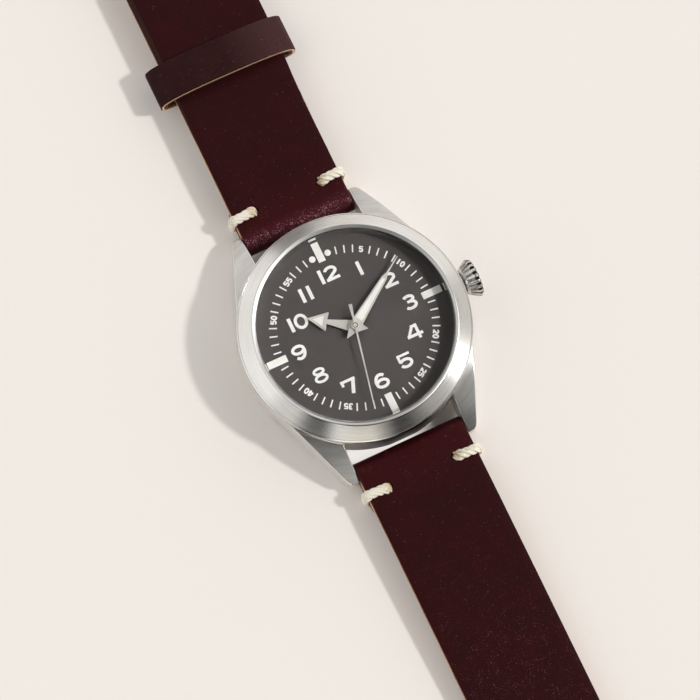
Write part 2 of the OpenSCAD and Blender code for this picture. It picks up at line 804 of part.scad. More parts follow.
module centre_wheel() {
    color("gold") difference() {
        union() {
            wheel(centre_wheel_z, wheel_t, centre_teeth, centre_m, centre_turn, 0);
            rod(centre_wheel_z - 0.1, minute_hand_z, pipe_r);
            rod(centre_wheel_z, centre_wheel_z + 0.3, 0.6);
        }
        rod(centre_wheel_z - 1, minute_hand_z + 1, arbor_r + run_gap);
    }
}

module cannon_pinion() {
    color("silver") difference() {
        union() {
            rod(motion_z + 0.05, minute_hand_z + hand_t + pipe_stand, cannon_r);
            pinion(minute_wheel_z - 0.05, 0.3, cannon_teeth, cannon_m, centre_turn);
        }
        rod(motion_z - 1, minute_hand_z + 1, pipe_r + seat_gap / 2);
    }
}

module minute_wheel() {
    color("gold") translate(minute_at) {
        wheel(minute_wheel_z, wheel_t, minute_teeth, cannon_m, minute_turn, post_r + run_gap);
        pinion(minute_wheel_z + wheel_t - eps, 0.45, minute_leaves, hour_m, minute_turn, post_r + run_gap);
    }
}

module hour_wheel() {
    color("gold") difference() {
        union() {
            wheel(hour_wheel_z, wheel_t, hour_teeth, hour_m, hour_turn, 0);
            rod(hour_wheel_z, hour_hand_z + hand_t + pipe_stand, hour_pipe_r);
        }
        rod(hour_wheel_z - 1, hour_hand_z + 1, cannon_r + run_gap);
    }
}

module setting_wheel() {
    color("gold") translate(setting_at)
        pinion(motion_z - 0.4, 0.75, setting_teeth, setting_m, setting_turn, post_r + run_gap);
}

// Hands. Each outline points along +X, and is turned to its clock angle

module at_clock(angle) {
    rotate([0, 0, 90 - angle]) children();
}

// A point list for one edge of a hand, followed by its mirror image for the other edge
function mirrored(points) =
    concat(points, [for (k = [len(points) - 1:-1:0]) [points[k][0], -points[k][1]]]);

module hour_outline() {
    base = hour_len - hour_head_len;
    polygon(mirrored([[-2.2, 0.02], [-0.2, 1.12], [base + 0.1, 0.38], [base, hour_head_w / 2 - 0.12],
        [base + 0.12, hour_head_w / 2], [hour_len, 0.02]]));
}

module minute_outline() {
    polygon(mirrored([[-2.55, 0.02], [-0.2, minute_w / 2 + 0.1], [2, minute_w / 2],
        [minute_len - 4.4, minute_w / 2 - 0.42], [minute_len - 3.4, 0.15], [minute_len, 0.06]]));
}

module hour_lume_outline(grow = 0) {
    base = hour_len - hour_head_len;
    polygon([[hour_len - 0.95 + 2 * grow, 0], [base + 0.72 - grow, hour_head_w / 2 - 0.72 + grow],
        [base + 0.72 - grow, -hour_head_w / 2 + 0.72 - grow]]);
}

module minute_lume_outline(grow = 0) {
    polygon(mirrored([[1.3 - grow, minute_w / 2 - 0.3 + grow],
        [minute_len - 4.5 + grow, minute_w / 2 - 0.65 + grow]]));
}

module hour_hand() {
    color("silver") at_clock(hour_angle) translate([0, 0, hour_hand_z])
        linear_extrude(height = hand_t) difference() {
            hour_outline();
            circle(r = hour_pipe_r + seat_gap / 2);
            hour_lume_outline(seat_gap);
        }
}

module hour_lume() {
    color("white") at_clock(hour_angle) translate([0, 0, hour_hand_z + 0.02])
        linear_extrude(height = hand_t) hour_lume_outline();
}

module minute_hand() {
    color("silver") at_clock(minute_angle) translate([0, 0, minute_hand_z])
        linear_extrude(height = hand_t) difference() {
            minute_outline();
            circle(r = cannon_r + seat_gap / 2);
            minute_lume_outline(seat_gap);
        }
}

module minute_lume() {
    color("white") at_clock(minute_angle) translate([0, 0, minute_hand_z + 0.02])
        linear_extrude(height = hand_t) minute_lume_outline();
}

module second_hand() {
    hub_r = 0.65;
    color("silver") at_clock(second_angle) difference() {
        union() {
            translate([0, 0, second_hand_z]) linear_extrude(height = hand_t * 0.8)
                polygon(mirrored([[-second_tail, 0.31], [-hub_r, 0.15], [hub_r, 0.16], [second_len, 0.09]]));
            rod(second_hand_z - 0.12, second_hand_z + hand_t, 0.35);
            rod(second_hand_z, second_hand_z + hand_t, hub_r);
        }
        rod(second_hand_z - 1, second_hand_z + 1, arbor_r + seat_gap / 2);
    }
}

// Keyless work

module square_shaft(x0, x1, side) {
    box(x0, x1, -side / 2, side / 2, -side / 2, side / 2);
}

module sliding_pinion() {
    face_teeth = 16;
    groove_x = pinion_x + pinion_len / 2;
    color("silver") translate([0, 0, stem_z]) difference() {
        rod_x(pinion_x, pinion_x + pinion_len, pinion_r);
        square_shaft(pinion_x - 1, pinion_x + pinion_len + 1, stem_r * 1.24 + 2 * run_gap);
        rotate([0, 90, 0]) tube(groove_x - 0.15, groove_x + 0.15, pinion_r + 1, 0.75);
        for (k = [0:face_teeth / 2 - 1]) rotate([k * 360 / face_teeth, 0, 0])
            box(pinion_x - eps, pinion_x + 0.2, -0.11, 0.11, -pinion_r - 1, pinion_r + 1);
    }
}

module stem() {
    square_end = pinion_x + pinion_len + 0.7;
    color("silver") translate([0, 0, stem_z]) {
        square_shaft(pinion_x, square_end, stem_r * 1.24);
        rod_x(square_end - eps, stem_groove_x - stem_groove_w / 2, stem_r);
        rod_x(stem_groove_x - stem_groove_w, stem_groove_x + stem_groove_w, 0.2);
        rod_x(stem_groove_x + stem_groove_w / 2, crown_x + crown_bore_len + 0.5, stem_r);
    }
}

// Lever whose pin stands in the stem's groove and swings as the stem is pulled
module setting_lever() {
    z0 = stem_z - 0.85;
    color("silver") difference() {
        union() {
            translate(lever_at) rod(z0, z0 + 0.2, 0.8);
            box(stem_groove_x - 0.3, stem_groove_x + 0.3, lever_pin_y, lever_at[1], z0, z0 + 0.2);
            translate([stem_groove_x, lever_pin_y]) {
                rod(z0, z0 + 0.2, 0.3);
                rod(z0, stem_z + 0.2, lever_pin_r);
            }
        }
        translate(lever_at) rod(z0 - 1, z0 + 1, 0.35 + run_gap);
    }
}

// Flutes run up the cone and break out through the rim
module crown() {
    rim_x = crown_len * 0.63;
    rim_w = 0.4;
    dome_r = 18;
    flute_depth = 0.55;
    profile = [[0, 0], [crown_root_d / 2, 0], [crown_root_d / 2 + 0.1, 0.15],
        [crown_r, rim_x], [crown_r, rim_x + rim_w], [crown_r - 0.4, crown_len - 0.2],
        [crown_r - 0.6, crown_len], [0, crown_len]];
    color("silver") translate([crown_x, 0, stem_z]) difference() {
        rotate([0, 90, 0]) rotate_extrude($fn = 96) intersection() {
            polygon(profile);
            translate([0, crown_len - dome_r]) circle(r = dome_r, $fn = 180);
        }
        rod_x(-1, crown_bore_len, crown_bore_r);
        rod_x(0, crown_bore_len + 0.52, stem_r + seat_gap / 2);
        for (k = [0:flutes - 1]) rotate([k * 360 / flutes, 0, 0]) rotate([90, 0, 0])
            linear_extrude(height = flute_w, center = true)
                polygon([[0.3, crown_root_d / 2 - 0.05], [rim_x + rim_w + 0.15, crown_r - flute_depth],
                    [rim_x + rim_w + 0.15, crown_r + 1], [0.3, crown_r + 1]]);
    }
}

module crown_gasket() {
    color("black") translate([0, 0, stem_z]) rotate([0, 90, 0])
        tube(crown_x + 0.15, crown_x + 0.5, crown_bore_r - seat_gap, tube_r + 0.03);
}

// Strap

// A point list for the right edge of an outline, followed by its mirror image for the left edge
function mirrored_across(points) =
    concat(points, [for (k = [len(points) - 1:-1:0]) [-points[k][0], points[k][1]]]);

// Smooth step from 0 to 1
function ease(t) = t <= 0 ? 0 : t >= 1 ? 1 : (1 - cos(180 * t)) / 2;

// Height of the leather's top, s from the bar, where it comes to flat_top over the length settle
function strap_top(s, flat_top, settle) =
    flat_top + (bar_z + loop_r - flat_top) * (1 - ease(s / settle));

// Points round half a loop of leather, from angle a0 to angle a1 about its bar
function loop_arc(middle, a0, a1) = [for (k = [0:16]) middle + polar(loop_r, a0 + (a1 - a0) * k / 16)];

// Side view of a strap piece: loop, stitched flap, the leather that runs on and its far end
module strap_profile(flat_top, settle, far_end) {
    steps = 12;
    flap_z = bar_z - loop_r;
    function course(s, down) = [s, strap_top(s, flat_top, settle) - down];
    top = [for (k = [1:steps]) course(k * settle / steps, 0)];
    under = [for (k = [steps:-1:1]) course(flap_len + k * (settle - flap_len) / steps, strap_t)];
    flap_top = course(flap_len, strap_t);
    flap = [flap_top, [flap_len, min(flap_z + 0.3, flap_top[1] - 0.5)], [flap_len - 2, flap_z]];
    difference() {
        polygon(concat(loop_arc([0, bar_z], 270, 90), top, far_end, under, flap));
        translate([0, bar_z]) circle(r = bar_r + run_gap);
        translate([0, bar_z])
            polygon([[0, bar_r + run_gap], [3.2, 0.1], [3.2, -0.1], [0, -bar_r - run_gap]]);
    }
}

// Holes for the lug stitches
module stitch_holes() {
    for (s = [-1, 1]) translate([s * stitch_x, stitch_at]) rod(-1, cut_h, stitch_w / 2);
}

module strap_buckle_side() {
    flat_top = short_flat_z + strap_t;
    run = short_len - 4;
    slot_back = 4.5;
    tongue_gap = 0.3;
    color("#3a1014") translate([0, bar_y, 0]) difference() {
        side_extrude(strap_w) strap_profile(flat_top, short_settle, concat([[run, flat_top]],
            loop_arc([short_len, buckle_z], 110, -110), [[run, flat_top - strap_t]]));
        translate([0, short_len, buckle_z]) rod_x(-strap_w, strap_w, bar_r + run_gap);
        stitch_holes();
        box(-tongue_w / 2 - tongue_gap, tongue_w / 2 + tongue_gap, short_len - slot_back,
            short_len + loop_r + 1, -1, cut_h);
    }
}

// Plan of the hole piece: straight sides, then two arcs that meet at a blunt tip
module long_plan() {
    half = strap_w / 2;
    arc_r = 15;
    blunt = 1.2;
    sweep = acos((blunt - half + arc_r) / arc_r);
    start = long_len - arc_r * sin(sweep);
    function edge(k) = [half - arc_r, start] + polar(arc_r, sweep * k / 12);
    polygon(mirrored_across([[half, -loop_r - 1], for (k = [0:12]) edge(k)]));
}

module strap_hole_side() {
    flat_top = long_flat_z + strap_t;
    first_hole = long_len - 27;
    color("#3a1014") mirror([0, 1, 0]) translate([0, bar_y, 0]) difference() {
        intersection() {
            side_extrude(strap_w)
                strap_profile(flat_top, long_settle,
                    [[long_len + 1, flat_top], [long_len + 1, long_flat_z]]);
            translate([0, 0, -1]) linear_extrude(height = cut_h) long_plan();
        }
        stitch_holes();
        for (k = [0:hole_count - 1]) translate([0, first_hole - k * hole_pitch]) rod(-1, cut_h, hole_d / 2);
    }
}

// Thick thread that comes up through its hole, over the strap's edge and back underneath
module lug_stitches(flat_top, settle) {
    edge = strap_w / 2 + 0.03;
    z1 = max([for (s = [-1, 1]) strap_top(stitch_at + s * stitch_w / 2, flat_top, settle)]) + 0.03;
    z0 = bar_z - loop_r - 0.03;
    under_t = min(stitch_t, z0 - 0.05);
    both_sides() translate([0, bar_y + stitch_at - stitch_w / 2, 0]) {
        box(stitch_x - 0.7, edge + stitch_t, 0, stitch_w, z1, z1 + stitch_t);
        box(edge, edge + stitch_t, 0, stitch_w, z0 - under_t, z1 + eps);
        box(stitch_x - 0.7, edge + eps, 0, stitch_w, z0 - under_t, z0);
        translate([stitch_x, stitch_w / 2]) rod(z0 - eps, z1 + eps, stitch_w / 2 - 0.05);
    }
}

module stitches_buckle_side() {
    color("wheat") lug_stitches(short_flat_z + strap_t, short_settle);
}

module stitches_hole_side() {
    color("wheat") mirror([0, 1, 0]) lug_stitches(long_flat_z + strap_t, long_settle);
}

// Leather band round the strap with rounded ends, seen along the strap
module keeper(w, room, foot, length) {
    h = room + 2 * keeper_t;
    r_out = h / 2;
    translate([0, length / 2, foot + h / 2]) rotate([90, 0, 0])
        linear_extrude(height = length) difference() {
            union() {
                square([w - h, h], center = true);
                for (s = [-1, 1]) translate([s * (w / 2 - r_out), 0]) circle(r = r_out);
            }
            square([w - h, room], center = true);
            for (s = [-1, 1]) translate([s * (w / 2 - r_out), 0]) circle(r = room / 2);
        }
}

module fixed_keeper() {
    color("#4a1a1c") translate([0, buckle_y - 11, 0])
        keeper(keeper_w - 0.6, keeper_room - 0.4, keeper_foot, keeper_len - 0.7);
}

module free_keeper() {
    color("#4a1a1c") translate([0, bar_y + keeper_at, 0])
        keeper(keeper_w, keeper_room, keeper_foot, keeper_len);
}

// Buckle

module arm_profile() {
    ear_r = 1.35;
    front_r = cross_d / 2 + 0.05;
    translate([0, buckle_z]) circle(r = ear_r);
    translate([buckle_reach, cross_z]) circle(r = front_r);
    polygon([[0, buckle_z + ear_r - 0.05], [buckle_reach, cross_z + front_r - 0.05],
        [buckle_reach, cross_z - front_r + 0.05], [0, buckle_z - ear_r + 0.05]]);
}

module buckle_plan() {
    corner = 3.5;
    half = arm_x + arm_w;
    front = buckle_reach + cross_d / 2 + 0.05;
    translate([-half, -3]) square([2 * half, front + 3 - corner]);
    translate([-half + corner, -3]) square([2 * half - 2 * corner, front + 3]);
    for (s = [-1, 1]) translate([s * (half - corner), front - corner]) circle(r = corner);
}

module buckle_frame() {
    color("silver") translate([0, buckle_y, 0]) intersection() {
        difference() {
            union() {
                both_sides() translate([arm_x + arm_w / 2, 0, 0]) side_extrude(arm_w) arm_profile();
                translate([0, buckle_reach, cross_z]) rod_x(-arm_x - 0.2, arm_x + 0.2, cross_d / 2);
            }
            translate([0, 0, buckle_z]) rod_x(-arm_x - arm_w - 1, arm_x + arm_w + 1, bar_r + seat_gap);
        }
        translate([0, 0, -1]) linear_extrude(height = cut_h) buckle_plan();
    }
}

module buckle_pin() {
    color("gray") translate([0, buckle_y, buckle_z]) rod_x(-arm_x - arm_w + 0.3, arm_x + arm_w - 0.3, bar_r);
}

// Tongue: an eye round the pin and a tapered blade that rests on the cross bar
module buckle_tongue() {
    eye_r = bar_r + run_gap + 0.55;
    rest_z = cross_z + cross_d / 2 + 0.03 - buckle_z;
    tip = buckle_reach + cross_d / 2 + 0.2;
    color("silver") translate([0, buckle_y, buckle_z]) difference() {
        union() {
            rod_x(-tongue_w / 2, tongue_w / 2, eye_r);
            side_extrude(tongue_w) polygon([[0, eye_r - 0.05], [2.5, eye_r - 0.15], [tip - 2, rest_z + 1.1],
                [tip, rest_z + 0.75], [tip, rest_z + 0.1], [tip - 0.4, rest_z], [buckle_reach - 1, rest_z],
                [1, -0.2], [0, -eye_r + 0.3]]);
        }
        rod_x(-tongue_w, tongue_w, bar_r + run_gap);
    }
}

mid_case();
bezel();
crystal();
crystal_gasket();
rehaut_ring();
dial();
quarter_markers();
movement_ring();
case_back();
case_back_gasket();
crown_tube();
spring_bar_12();
spring_bar_6();
main_plate();
train_bridge();
bridge_screws();
battery();
battery_clip();
coil_block();
stator();
circuit_board();
yoke();
dial_washer();
rotor();
fifth_wheel();
fourth_wheel();
second_hand();
third_wheel();
centre_wheel();
cannon_pinion();
minute_hand();
minute_lume();
minute_wheel();
hour_wheel();
hour_hand();
hour_lume();
setting_wheel();
sliding_pinion();
stem();
crown();
crown_gasket();
setting_lever();
bar_tip_12_left();
bar_tip_12_right();
bar_tip_6_left();
bar_tip_6_right();
strap_buckle_side();
stitches_buckle_side();
fixed_keeper();
free_keeper();
buckle_frame();
buckle_pin();
buckle_tongue();
strap_hole_side();
stitches_hole_side();
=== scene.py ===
"""Pilot watch with a leather strap, lying open on a pale table: looks, light and camera."""
import math

import bpy
from mathutils import Matrix, Vector


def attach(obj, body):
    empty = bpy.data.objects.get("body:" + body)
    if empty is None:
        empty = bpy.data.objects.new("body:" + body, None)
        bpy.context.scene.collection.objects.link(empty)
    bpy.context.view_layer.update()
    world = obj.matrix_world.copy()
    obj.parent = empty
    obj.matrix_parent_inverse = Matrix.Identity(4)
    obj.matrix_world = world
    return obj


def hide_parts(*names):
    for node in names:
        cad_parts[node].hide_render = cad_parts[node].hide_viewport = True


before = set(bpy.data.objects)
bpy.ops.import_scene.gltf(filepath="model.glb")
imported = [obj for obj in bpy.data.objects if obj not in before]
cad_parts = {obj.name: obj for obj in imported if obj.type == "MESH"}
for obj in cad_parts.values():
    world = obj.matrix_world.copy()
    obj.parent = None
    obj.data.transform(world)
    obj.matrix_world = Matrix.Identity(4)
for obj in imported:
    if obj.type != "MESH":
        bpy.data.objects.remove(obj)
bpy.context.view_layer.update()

MM = 0.001


def deselect():
    bpy.ops.object.select_all(action="DESELECT")


deselect()

# Camera, as the photograph was taken
camera_data = bpy.data.cameras.new("camera")
camera_data.lens = 144
camera_data.sensor_width = 36
camera_data.clip_start = 0.05
camera_data.clip_end = 20
camera = bpy.data.objects.new("camera", camera_data)
scene = bpy.context.scene
scene.collection.objects.link(camera)
camera.matrix_world = Matrix((
    (0.9011, 0.4119, -0.1358, -0.0656),
    (-0.4321, 0.8793, -0.2002, -0.0963),
    (0.0370, 0.2390, 0.9703, 0.4597),
    (0, 0, 0, 1)))
scene.camera = camera

# Driving sizes in millimetres, as in the construction but for the fold's front and the stitches
DIAL_Z = 8.0
CROWN_X, STEM_Z = 20.4, 5.0
LUG_GAP = 20.1
BAR_Y, BAR_Z = 21.7, 2.45
LOOP_R = 2.05
LOOP_FRONT = 1.75
BAR_HOLE_R = 0.8
STRAP_W, STRAP_T = 19.8, 2.3
FLAP = 7
SHORT_LEN, LONG_LEN = 75, 118
SHORT_FLAT, LONG_FLAT = 5.0, 2.35
SHORT_SETTLE, LONG_SETTLE = 13, 80
STITCH_AT, STITCH_X, STITCH_W = 4.6, 6.1, 1.4
KEEPER_Y = 53.0
KEEPER_LEN = 6.7
KEEPER_W = 25.4
KEEPER_H = 5.7
KEEPER_T = 1.2
KEEPER_FOOT = 1.4
FIXED_KEEPER_Y = 85.7
BUCKLE_Y, BUCKLE_Z = 96.7, 3.85
HOLE_COUNT, HOLE_PITCH, HOLE_D = 7, 7, 2


# Effects used by more than one material

def node_group(name, inputs, outputs):
    group = bpy.data.node_groups.new(name, "ShaderNodeTree")
    for label, kind, value in inputs:
        socket = group.interface.new_socket(name=label, in_out="INPUT", socket_type=kind)
        if value is not None:
            socket.default_value = value
    for label, kind in outputs:
        group.interface.new_socket(name=label, in_out="OUTPUT", socket_type=kind)
    start = group.nodes.new("NodeGroupInput")
    end = group.nodes.new("NodeGroupOutput")
    return group, start, end


class Net:
    """Short ways to add and join shader nodes."""

    def __init__(self, tree):
        self.tree = tree

    def add(self, kind, inputs=None, **settings):
        node = self.tree.nodes.new("ShaderNode" + kind)
        for key, value in settings.items():
            setattr(node, key, value)
        for key, value in (inputs or {}).items():
            self.put(node.inputs[key], value)
        return node

    def put(self, socket, value):
        if isinstance(value, bpy.types.NodeSocket):
            self.tree.links.new(value, socket)
        elif value is not None:
            socket.default_value = value

    def math(self, operation, a, b=None, clamp=False):
        node = self.add("Math", operation=operation, use_clamp=clamp)
        for socket, value in zip(node.inputs, (a, b)):
            self.put(socket, value)
        return node.outputs[0]

    def split(self, vector):
        return self.add("SeparateXYZ", {0: vector}).outputs

    def times(self, a, b):
        return self.math("MULTIPLY", a, b)

    def plus(self, a, b, clamp=False):
        return self.math("ADD", a, b, clamp)

    def minus(self, a, b):
        return self.math("SUBTRACT", a, b)

    def weigh(self, a, share_a, b, share_b):
        return self.plus(self.times(a, share_a), self.times(b, share_b))

    def vector(self, operation, a, b=None, scale=None):
        node = self.add("VectorMath", operation=operation)
        self.put(node.inputs[0], a)
        if b is not None:
            self.put(node.inputs[1], b)
        if scale is not None:
            self.put(node.inputs["Scale"], scale)
        return node.outputs["Value" if operation in ("LENGTH", "DOT_PRODUCT", "DISTANCE") else "Vector"]

    def noise(self, vector, scale, detail=2.0, roughness=0.5):
        node = self.add("TexNoise", {"Vector": vector, "Scale": scale, "Detail": detail,
                                               "Roughness": roughness})
        return node.outputs["Fac"]

    def cells(self, vector, scale, feature="F1"):
        node = self.add("TexVoronoi", {"Vector": vector, "Scale": scale}, feature=feature)
        return node.outputs["Distance"]

    def ramp(self, value, stops):
        node = self.add("ValToRGB", {"Fac": value})
        ramp = node.color_ramp
        while len(ramp.elements) < len(stops):
            ramp.elements.new(0.5)
        for element, (place, colour) in zip(ramp.elements, stops):
            element.position = place
            element.color = (*colour, 1)
        return node.outputs["Color"]

    def span(self, value, low, high, to_low=0.0, to_high=1.0):
        node = self.add("MapRange", {"Value": value, "From Min": low, "From Max": high,
                                               "To Min": to_low, "To Max": to_high}, clamp=True)
        return node.outputs["Result"]

    def blend(self, factor, a, b, mode="MIX"):
        node = self.add("Mix", data_type="RGBA", blend_type=mode)
        self.put(node.inputs["Factor"], factor)
        for socket, value in ((node.inputs[6], a), (node.inputs[7], b)):
            self.put(socket, value if isinstance(value, bpy.types.NodeSocket) else (*value[:3], 1))
        return node.outputs[2]

    def show_mixed(self, share, first, second):
        """Shows the first shader node, and the second one by its share."""
        mix = self.add("MixShader", {0: share, 1: first.outputs[0], 2: second.outputs[0]})
        self.put(self.tree.nodes["Material Output"].inputs["Surface"], mix.outputs[0])


def make_turned_strokes():
    """Fine brush strokes that run round the Z axis, and slow changes of shade along them."""
    group, start, end = node_group(
        "turned_strokes",
        [("Position", "NodeSocketVector", None), ("Fineness", "NodeSocketFloat", 9000.0),
         ("Stroke", "NodeSocketFloat", 5.0)],
        [("Height", "NodeSocketFloat"), ("Shade", "NodeSocketFloat")])
    net = Net(group)
    parts = net.split(start.outputs["Position"])
    flat = net.add("CombineXYZ", {"X": parts[0], "Y": parts[1]}).outputs[0]
    radius = net.vector("LENGTH", flat)
    round_way = net.vector("NORMALIZE", flat)
    along = net.vector("SCALE", round_way, scale=start.outputs["Stroke"])
    across = net.times(net.minus(radius, parts[2]), start.outputs["Fineness"])
    lift = net.add("CombineXYZ", {"Z": across}).outputs[0]
    place = net.vector("ADD", along, lift)
    fine = net.noise(place, 1.0, 2.0, 0.6)
    wide = net.noise(net.vector("ADD", along, net.vector("SCALE", lift, scale=0.35)), 0.8, 3.0, 0.6)
    net.put(end.inputs["Height"], net.weigh(fine, 0.7, wide, 0.3))
    net.put(end.inputs["Shade"], wide)
    return group


def make_handling_marks():
    """Sparse specks and short scratches of handling, 0 to 1."""
    group, start, end = node_group(
        "handling_marks",
        [("Position", "NodeSocketVector", None), ("Scale", "NodeSocketFloat", 1500.0),
         ("Amount", "NodeSocketFloat", 0.1)],
        [("Mask", "NodeSocketFloat")])
    net = Net(group)
    place = net.vector("SCALE", start.outputs["Position"], scale=start.outputs["Scale"])
    speck = net.cells(place, 1.0)
    patch = net.noise(place, 0.22, 3.0, 0.6)
    mask = net.math("LESS_THAN", speck, net.times(start.outputs["Amount"], patch))
    net.put(end.inputs["Mask"], mask)
    return group


def make_leather_grain():
    """Pores and soft wrinkles of a smooth full-grain hide."""
    group, start, end = node_group(
        "hide_grain",
        [("Position", "NodeSocketVector", None), ("Pore", "NodeSocketFloat", 2600.0)],
        [("Height", "NodeSocketFloat"), ("Pores", "NodeSocketFloat"), ("Mottle", "NodeSocketFloat"),
         ("Flecks", "NodeSocketFloat")])
    net = Net(group)
    position = start.outputs["Position"]
    pore_place = net.vector("SCALE", position, scale=start.outputs["Pore"])
    bend = net.add("TexNoise", {"Vector": pore_place, "Scale": 0.6, "Detail": 2.0}).outputs["Color"]
    bent = net.vector("ADD", pore_place, net.vector("SCALE", bend, scale=1.2))
    cell = net.cells(bent, 1.0)
    crease = net.cells(bent, 0.62, "DISTANCE_TO_EDGE")
    pores = net.span(cell, 0.0, 0.32, 1.0, 0.0)
    creases = net.span(crease, 0.0, 0.16, 1.0, 0.0)
    mottle = net.noise(position, 260.0, 4.0, 0.6)
    fine = net.noise(pore_place, 1.8, 2.0, 0.6)
    height = net.minus(net.weigh(mottle, 0.8, fine, 0.35), net.weigh(pores, 0.5, creases, 0.28))
    speck = net.cells(net.vector("SCALE", position, scale=3400.0), 1.0)
    spread = net.noise(position, 700.0, 3.0, 0.65)
    flecks = net.math("LESS_THAN", speck, net.span(spread, 0.46, 0.8, 0.0, 0.42))
    net.put(end.inputs["Height"], height)
    net.put(end.inputs["Pores"], pores)
    net.put(end.inputs["Mottle"], mottle)
    net.put(end.inputs["Flecks"], flecks)
    return group


TURNED = make_turned_strokes()
MARKS = make_handling_marks()
HIDE = make_leather_grain()


# Materials

def new_material(name, **plain):
    material = bpy.data.materials.new(name)
    material.use_nodes = True
    shader = material.node_tree.nodes["Principled BSDF"]
    for key, value in plain.items():
        shader.inputs[key.replace("_", " ")].default_value = value
    net = Net(material.node_tree)
    return material, net, shader, net.add("TexCoord").outputs["Object"]


def surface(net, shader, colour, roughness, relief, depth, strength=1.0):
    """Joins a colour, a roughness and a fine relief, of a depth in metres, to the shader."""
    net.put(shader.inputs["Base Color"], colour)
    net.put(shader.inputs["Roughness"], roughness)
    bump = net.add("Bump", {"Height": relief, "Distance": depth, "Strength": strength})
    net.put(shader.inputs["Normal"], bump.outputs["Normal"])


def toned(colour, share):
    return [min(1, c * share) for c in colour]


def grouped(net, group, **values):
    node = net.add("Group", node_tree=group)
    for key, value in values.items():
        net.put(node.inputs[key], value)
    return node.outputs


def across_strokes(net, position, axis=(0, 0, 1)):
    """The way in the surface that crosses strokes turned round the axis: gloss spreads along it."""
    facing = net.add("NewGeometry").outputs["Normal"]
    stroke = net.vector("CROSS_PRODUCT", axis, position)
    return net.vector("NORMALIZE", net.vector("CROSS_PRODUCT", facing, stroke))


def brushed_steel(name, colour, roughness, fineness, stroke, depth=2.5e-6, anisotropy=0.75, swing=0.12,
                  contrast=0.14, level=False):
    """Steel with strokes in circles round the Z axis, or level ones on upright walls."""
    material, net, shader, position = new_material(name, Metallic=1.0, Anisotropic=anisotropy)
    place = net.vector("MULTIPLY", position, (0.01, 0.01, 1)) if level else position
    strokes = grouped(net, TURNED, Position=place, Fineness=fineness, Stroke=stroke)
    marks = grouped(net, MARKS, Position=position, Scale=1300.0, Amount=0.07)
    shade = net.span(strokes["Shade"], 0.3, 0.7)
    gloss = net.plus(net.times(strokes["Height"], swing), roughness - swing / 2)
    net.put(shader.inputs["Tangent"], across_strokes(net, position))
    surface(net, shader, net.blend(shade, toned(colour, 1 - contrast), toned(colour, 1 + contrast / 2)),
            net.plus(gloss, net.times(marks["Mask"], 0.1)), strokes["Height"], depth)
    return material


def polished_steel(name, colour, roughness):
    material, net, shader, position = new_material(name, Metallic=1.0)
    marks = grouped(net, MARKS, Position=position, Scale=2200.0, Amount=0.12)
    haze = net.noise(position, 900.0, 3.0)
    gloss = net.span(haze, 0.3, 0.7, roughness * 0.7, roughness * 1.5)
    surface(net, shader, net.blend(net.span(haze, 0.3, 0.7), toned(colour, 0.93), colour),
            net.plus(gloss, net.times(marks["Mask"], 0.12)), haze, 1.5e-6)
    return material


def plain_grained(name, colour, metallic, roughness, scale, depth, variation=0.12):
    """A moulded, cast or drawn finish: colour, gloss and surface vary a little over the piece."""
    material, net, shader, position = new_material(name, Metallic=metallic)
    grain = net.noise(position, scale, 4.0, 0.6)
    shade = net.weigh(grain, 0.5, net.noise(position, scale * 0.06, 2.0), 0.5)
    surface(net, shader,
            net.blend(net.span(shade, 0.35, 0.65), toned(colour, 1 - variation),
                      toned(colour, 1 + variation)),
            net.span(shade, 0.35, 0.65, roughness * 0.85, min(1, roughness * 1.2)), grain, depth)
    return material


def sapphire(name):
    """Clear glass that lets the lamps' light through to the dial."""
    material, net, shader, position = new_material(name, IOR=1.38, Metallic=0.0, Transmission_Weight=1.0)
    smear = net.noise(position, 90.0, 3.0)
    net.put(shader.inputs["Roughness"], net.span(smear, 0.45, 0.75, 0.0, 0.012))
    net.put(shader.inputs["Base Color"], net.blend(smear, (0.985, 0.99, 0.99), (1, 1, 1)))
    clear = net.add("BsdfTransparent", {"Color": (0.97, 0.975, 0.975, 1)})
    shadow = net.add("LightPath").outputs["Is Shadow Ray"]
    net.show_mixed(shadow, shader, clear)
    return material


def dial_paint():
    material, net, shader, position = new_material("dial_grey_paint", Metallic=0.0, Specular_IOR_Level=0.35)
    radius = net.vector("LENGTH", net.vector("MULTIPLY", position, (1, 1, 0)))
    grain = net.noise(position, 9000.0, 2.0, 0.7)
    # The paint darkens from the middle to the rim, a painted shade under the bezel's edge
    middle, edge = (0.062, 0.0535, 0.0515), (0.053, 0.0455, 0.044)
    base = net.blend(net.span(radius, 0.004, 0.0168), middle, edge)
    speckle = net.weigh(grain, 0.6, net.noise(position, 120.0, 2.0), 0.4)
    surface(net, shader, net.blend(net.span(speckle, 0.35, 0.65, 0.0, 0.35), base, (0.07, 0.06, 0.057)),
            net.span(speckle, 0.3, 0.7, 0.5, 0.68), grain, 4e-6)
    return material


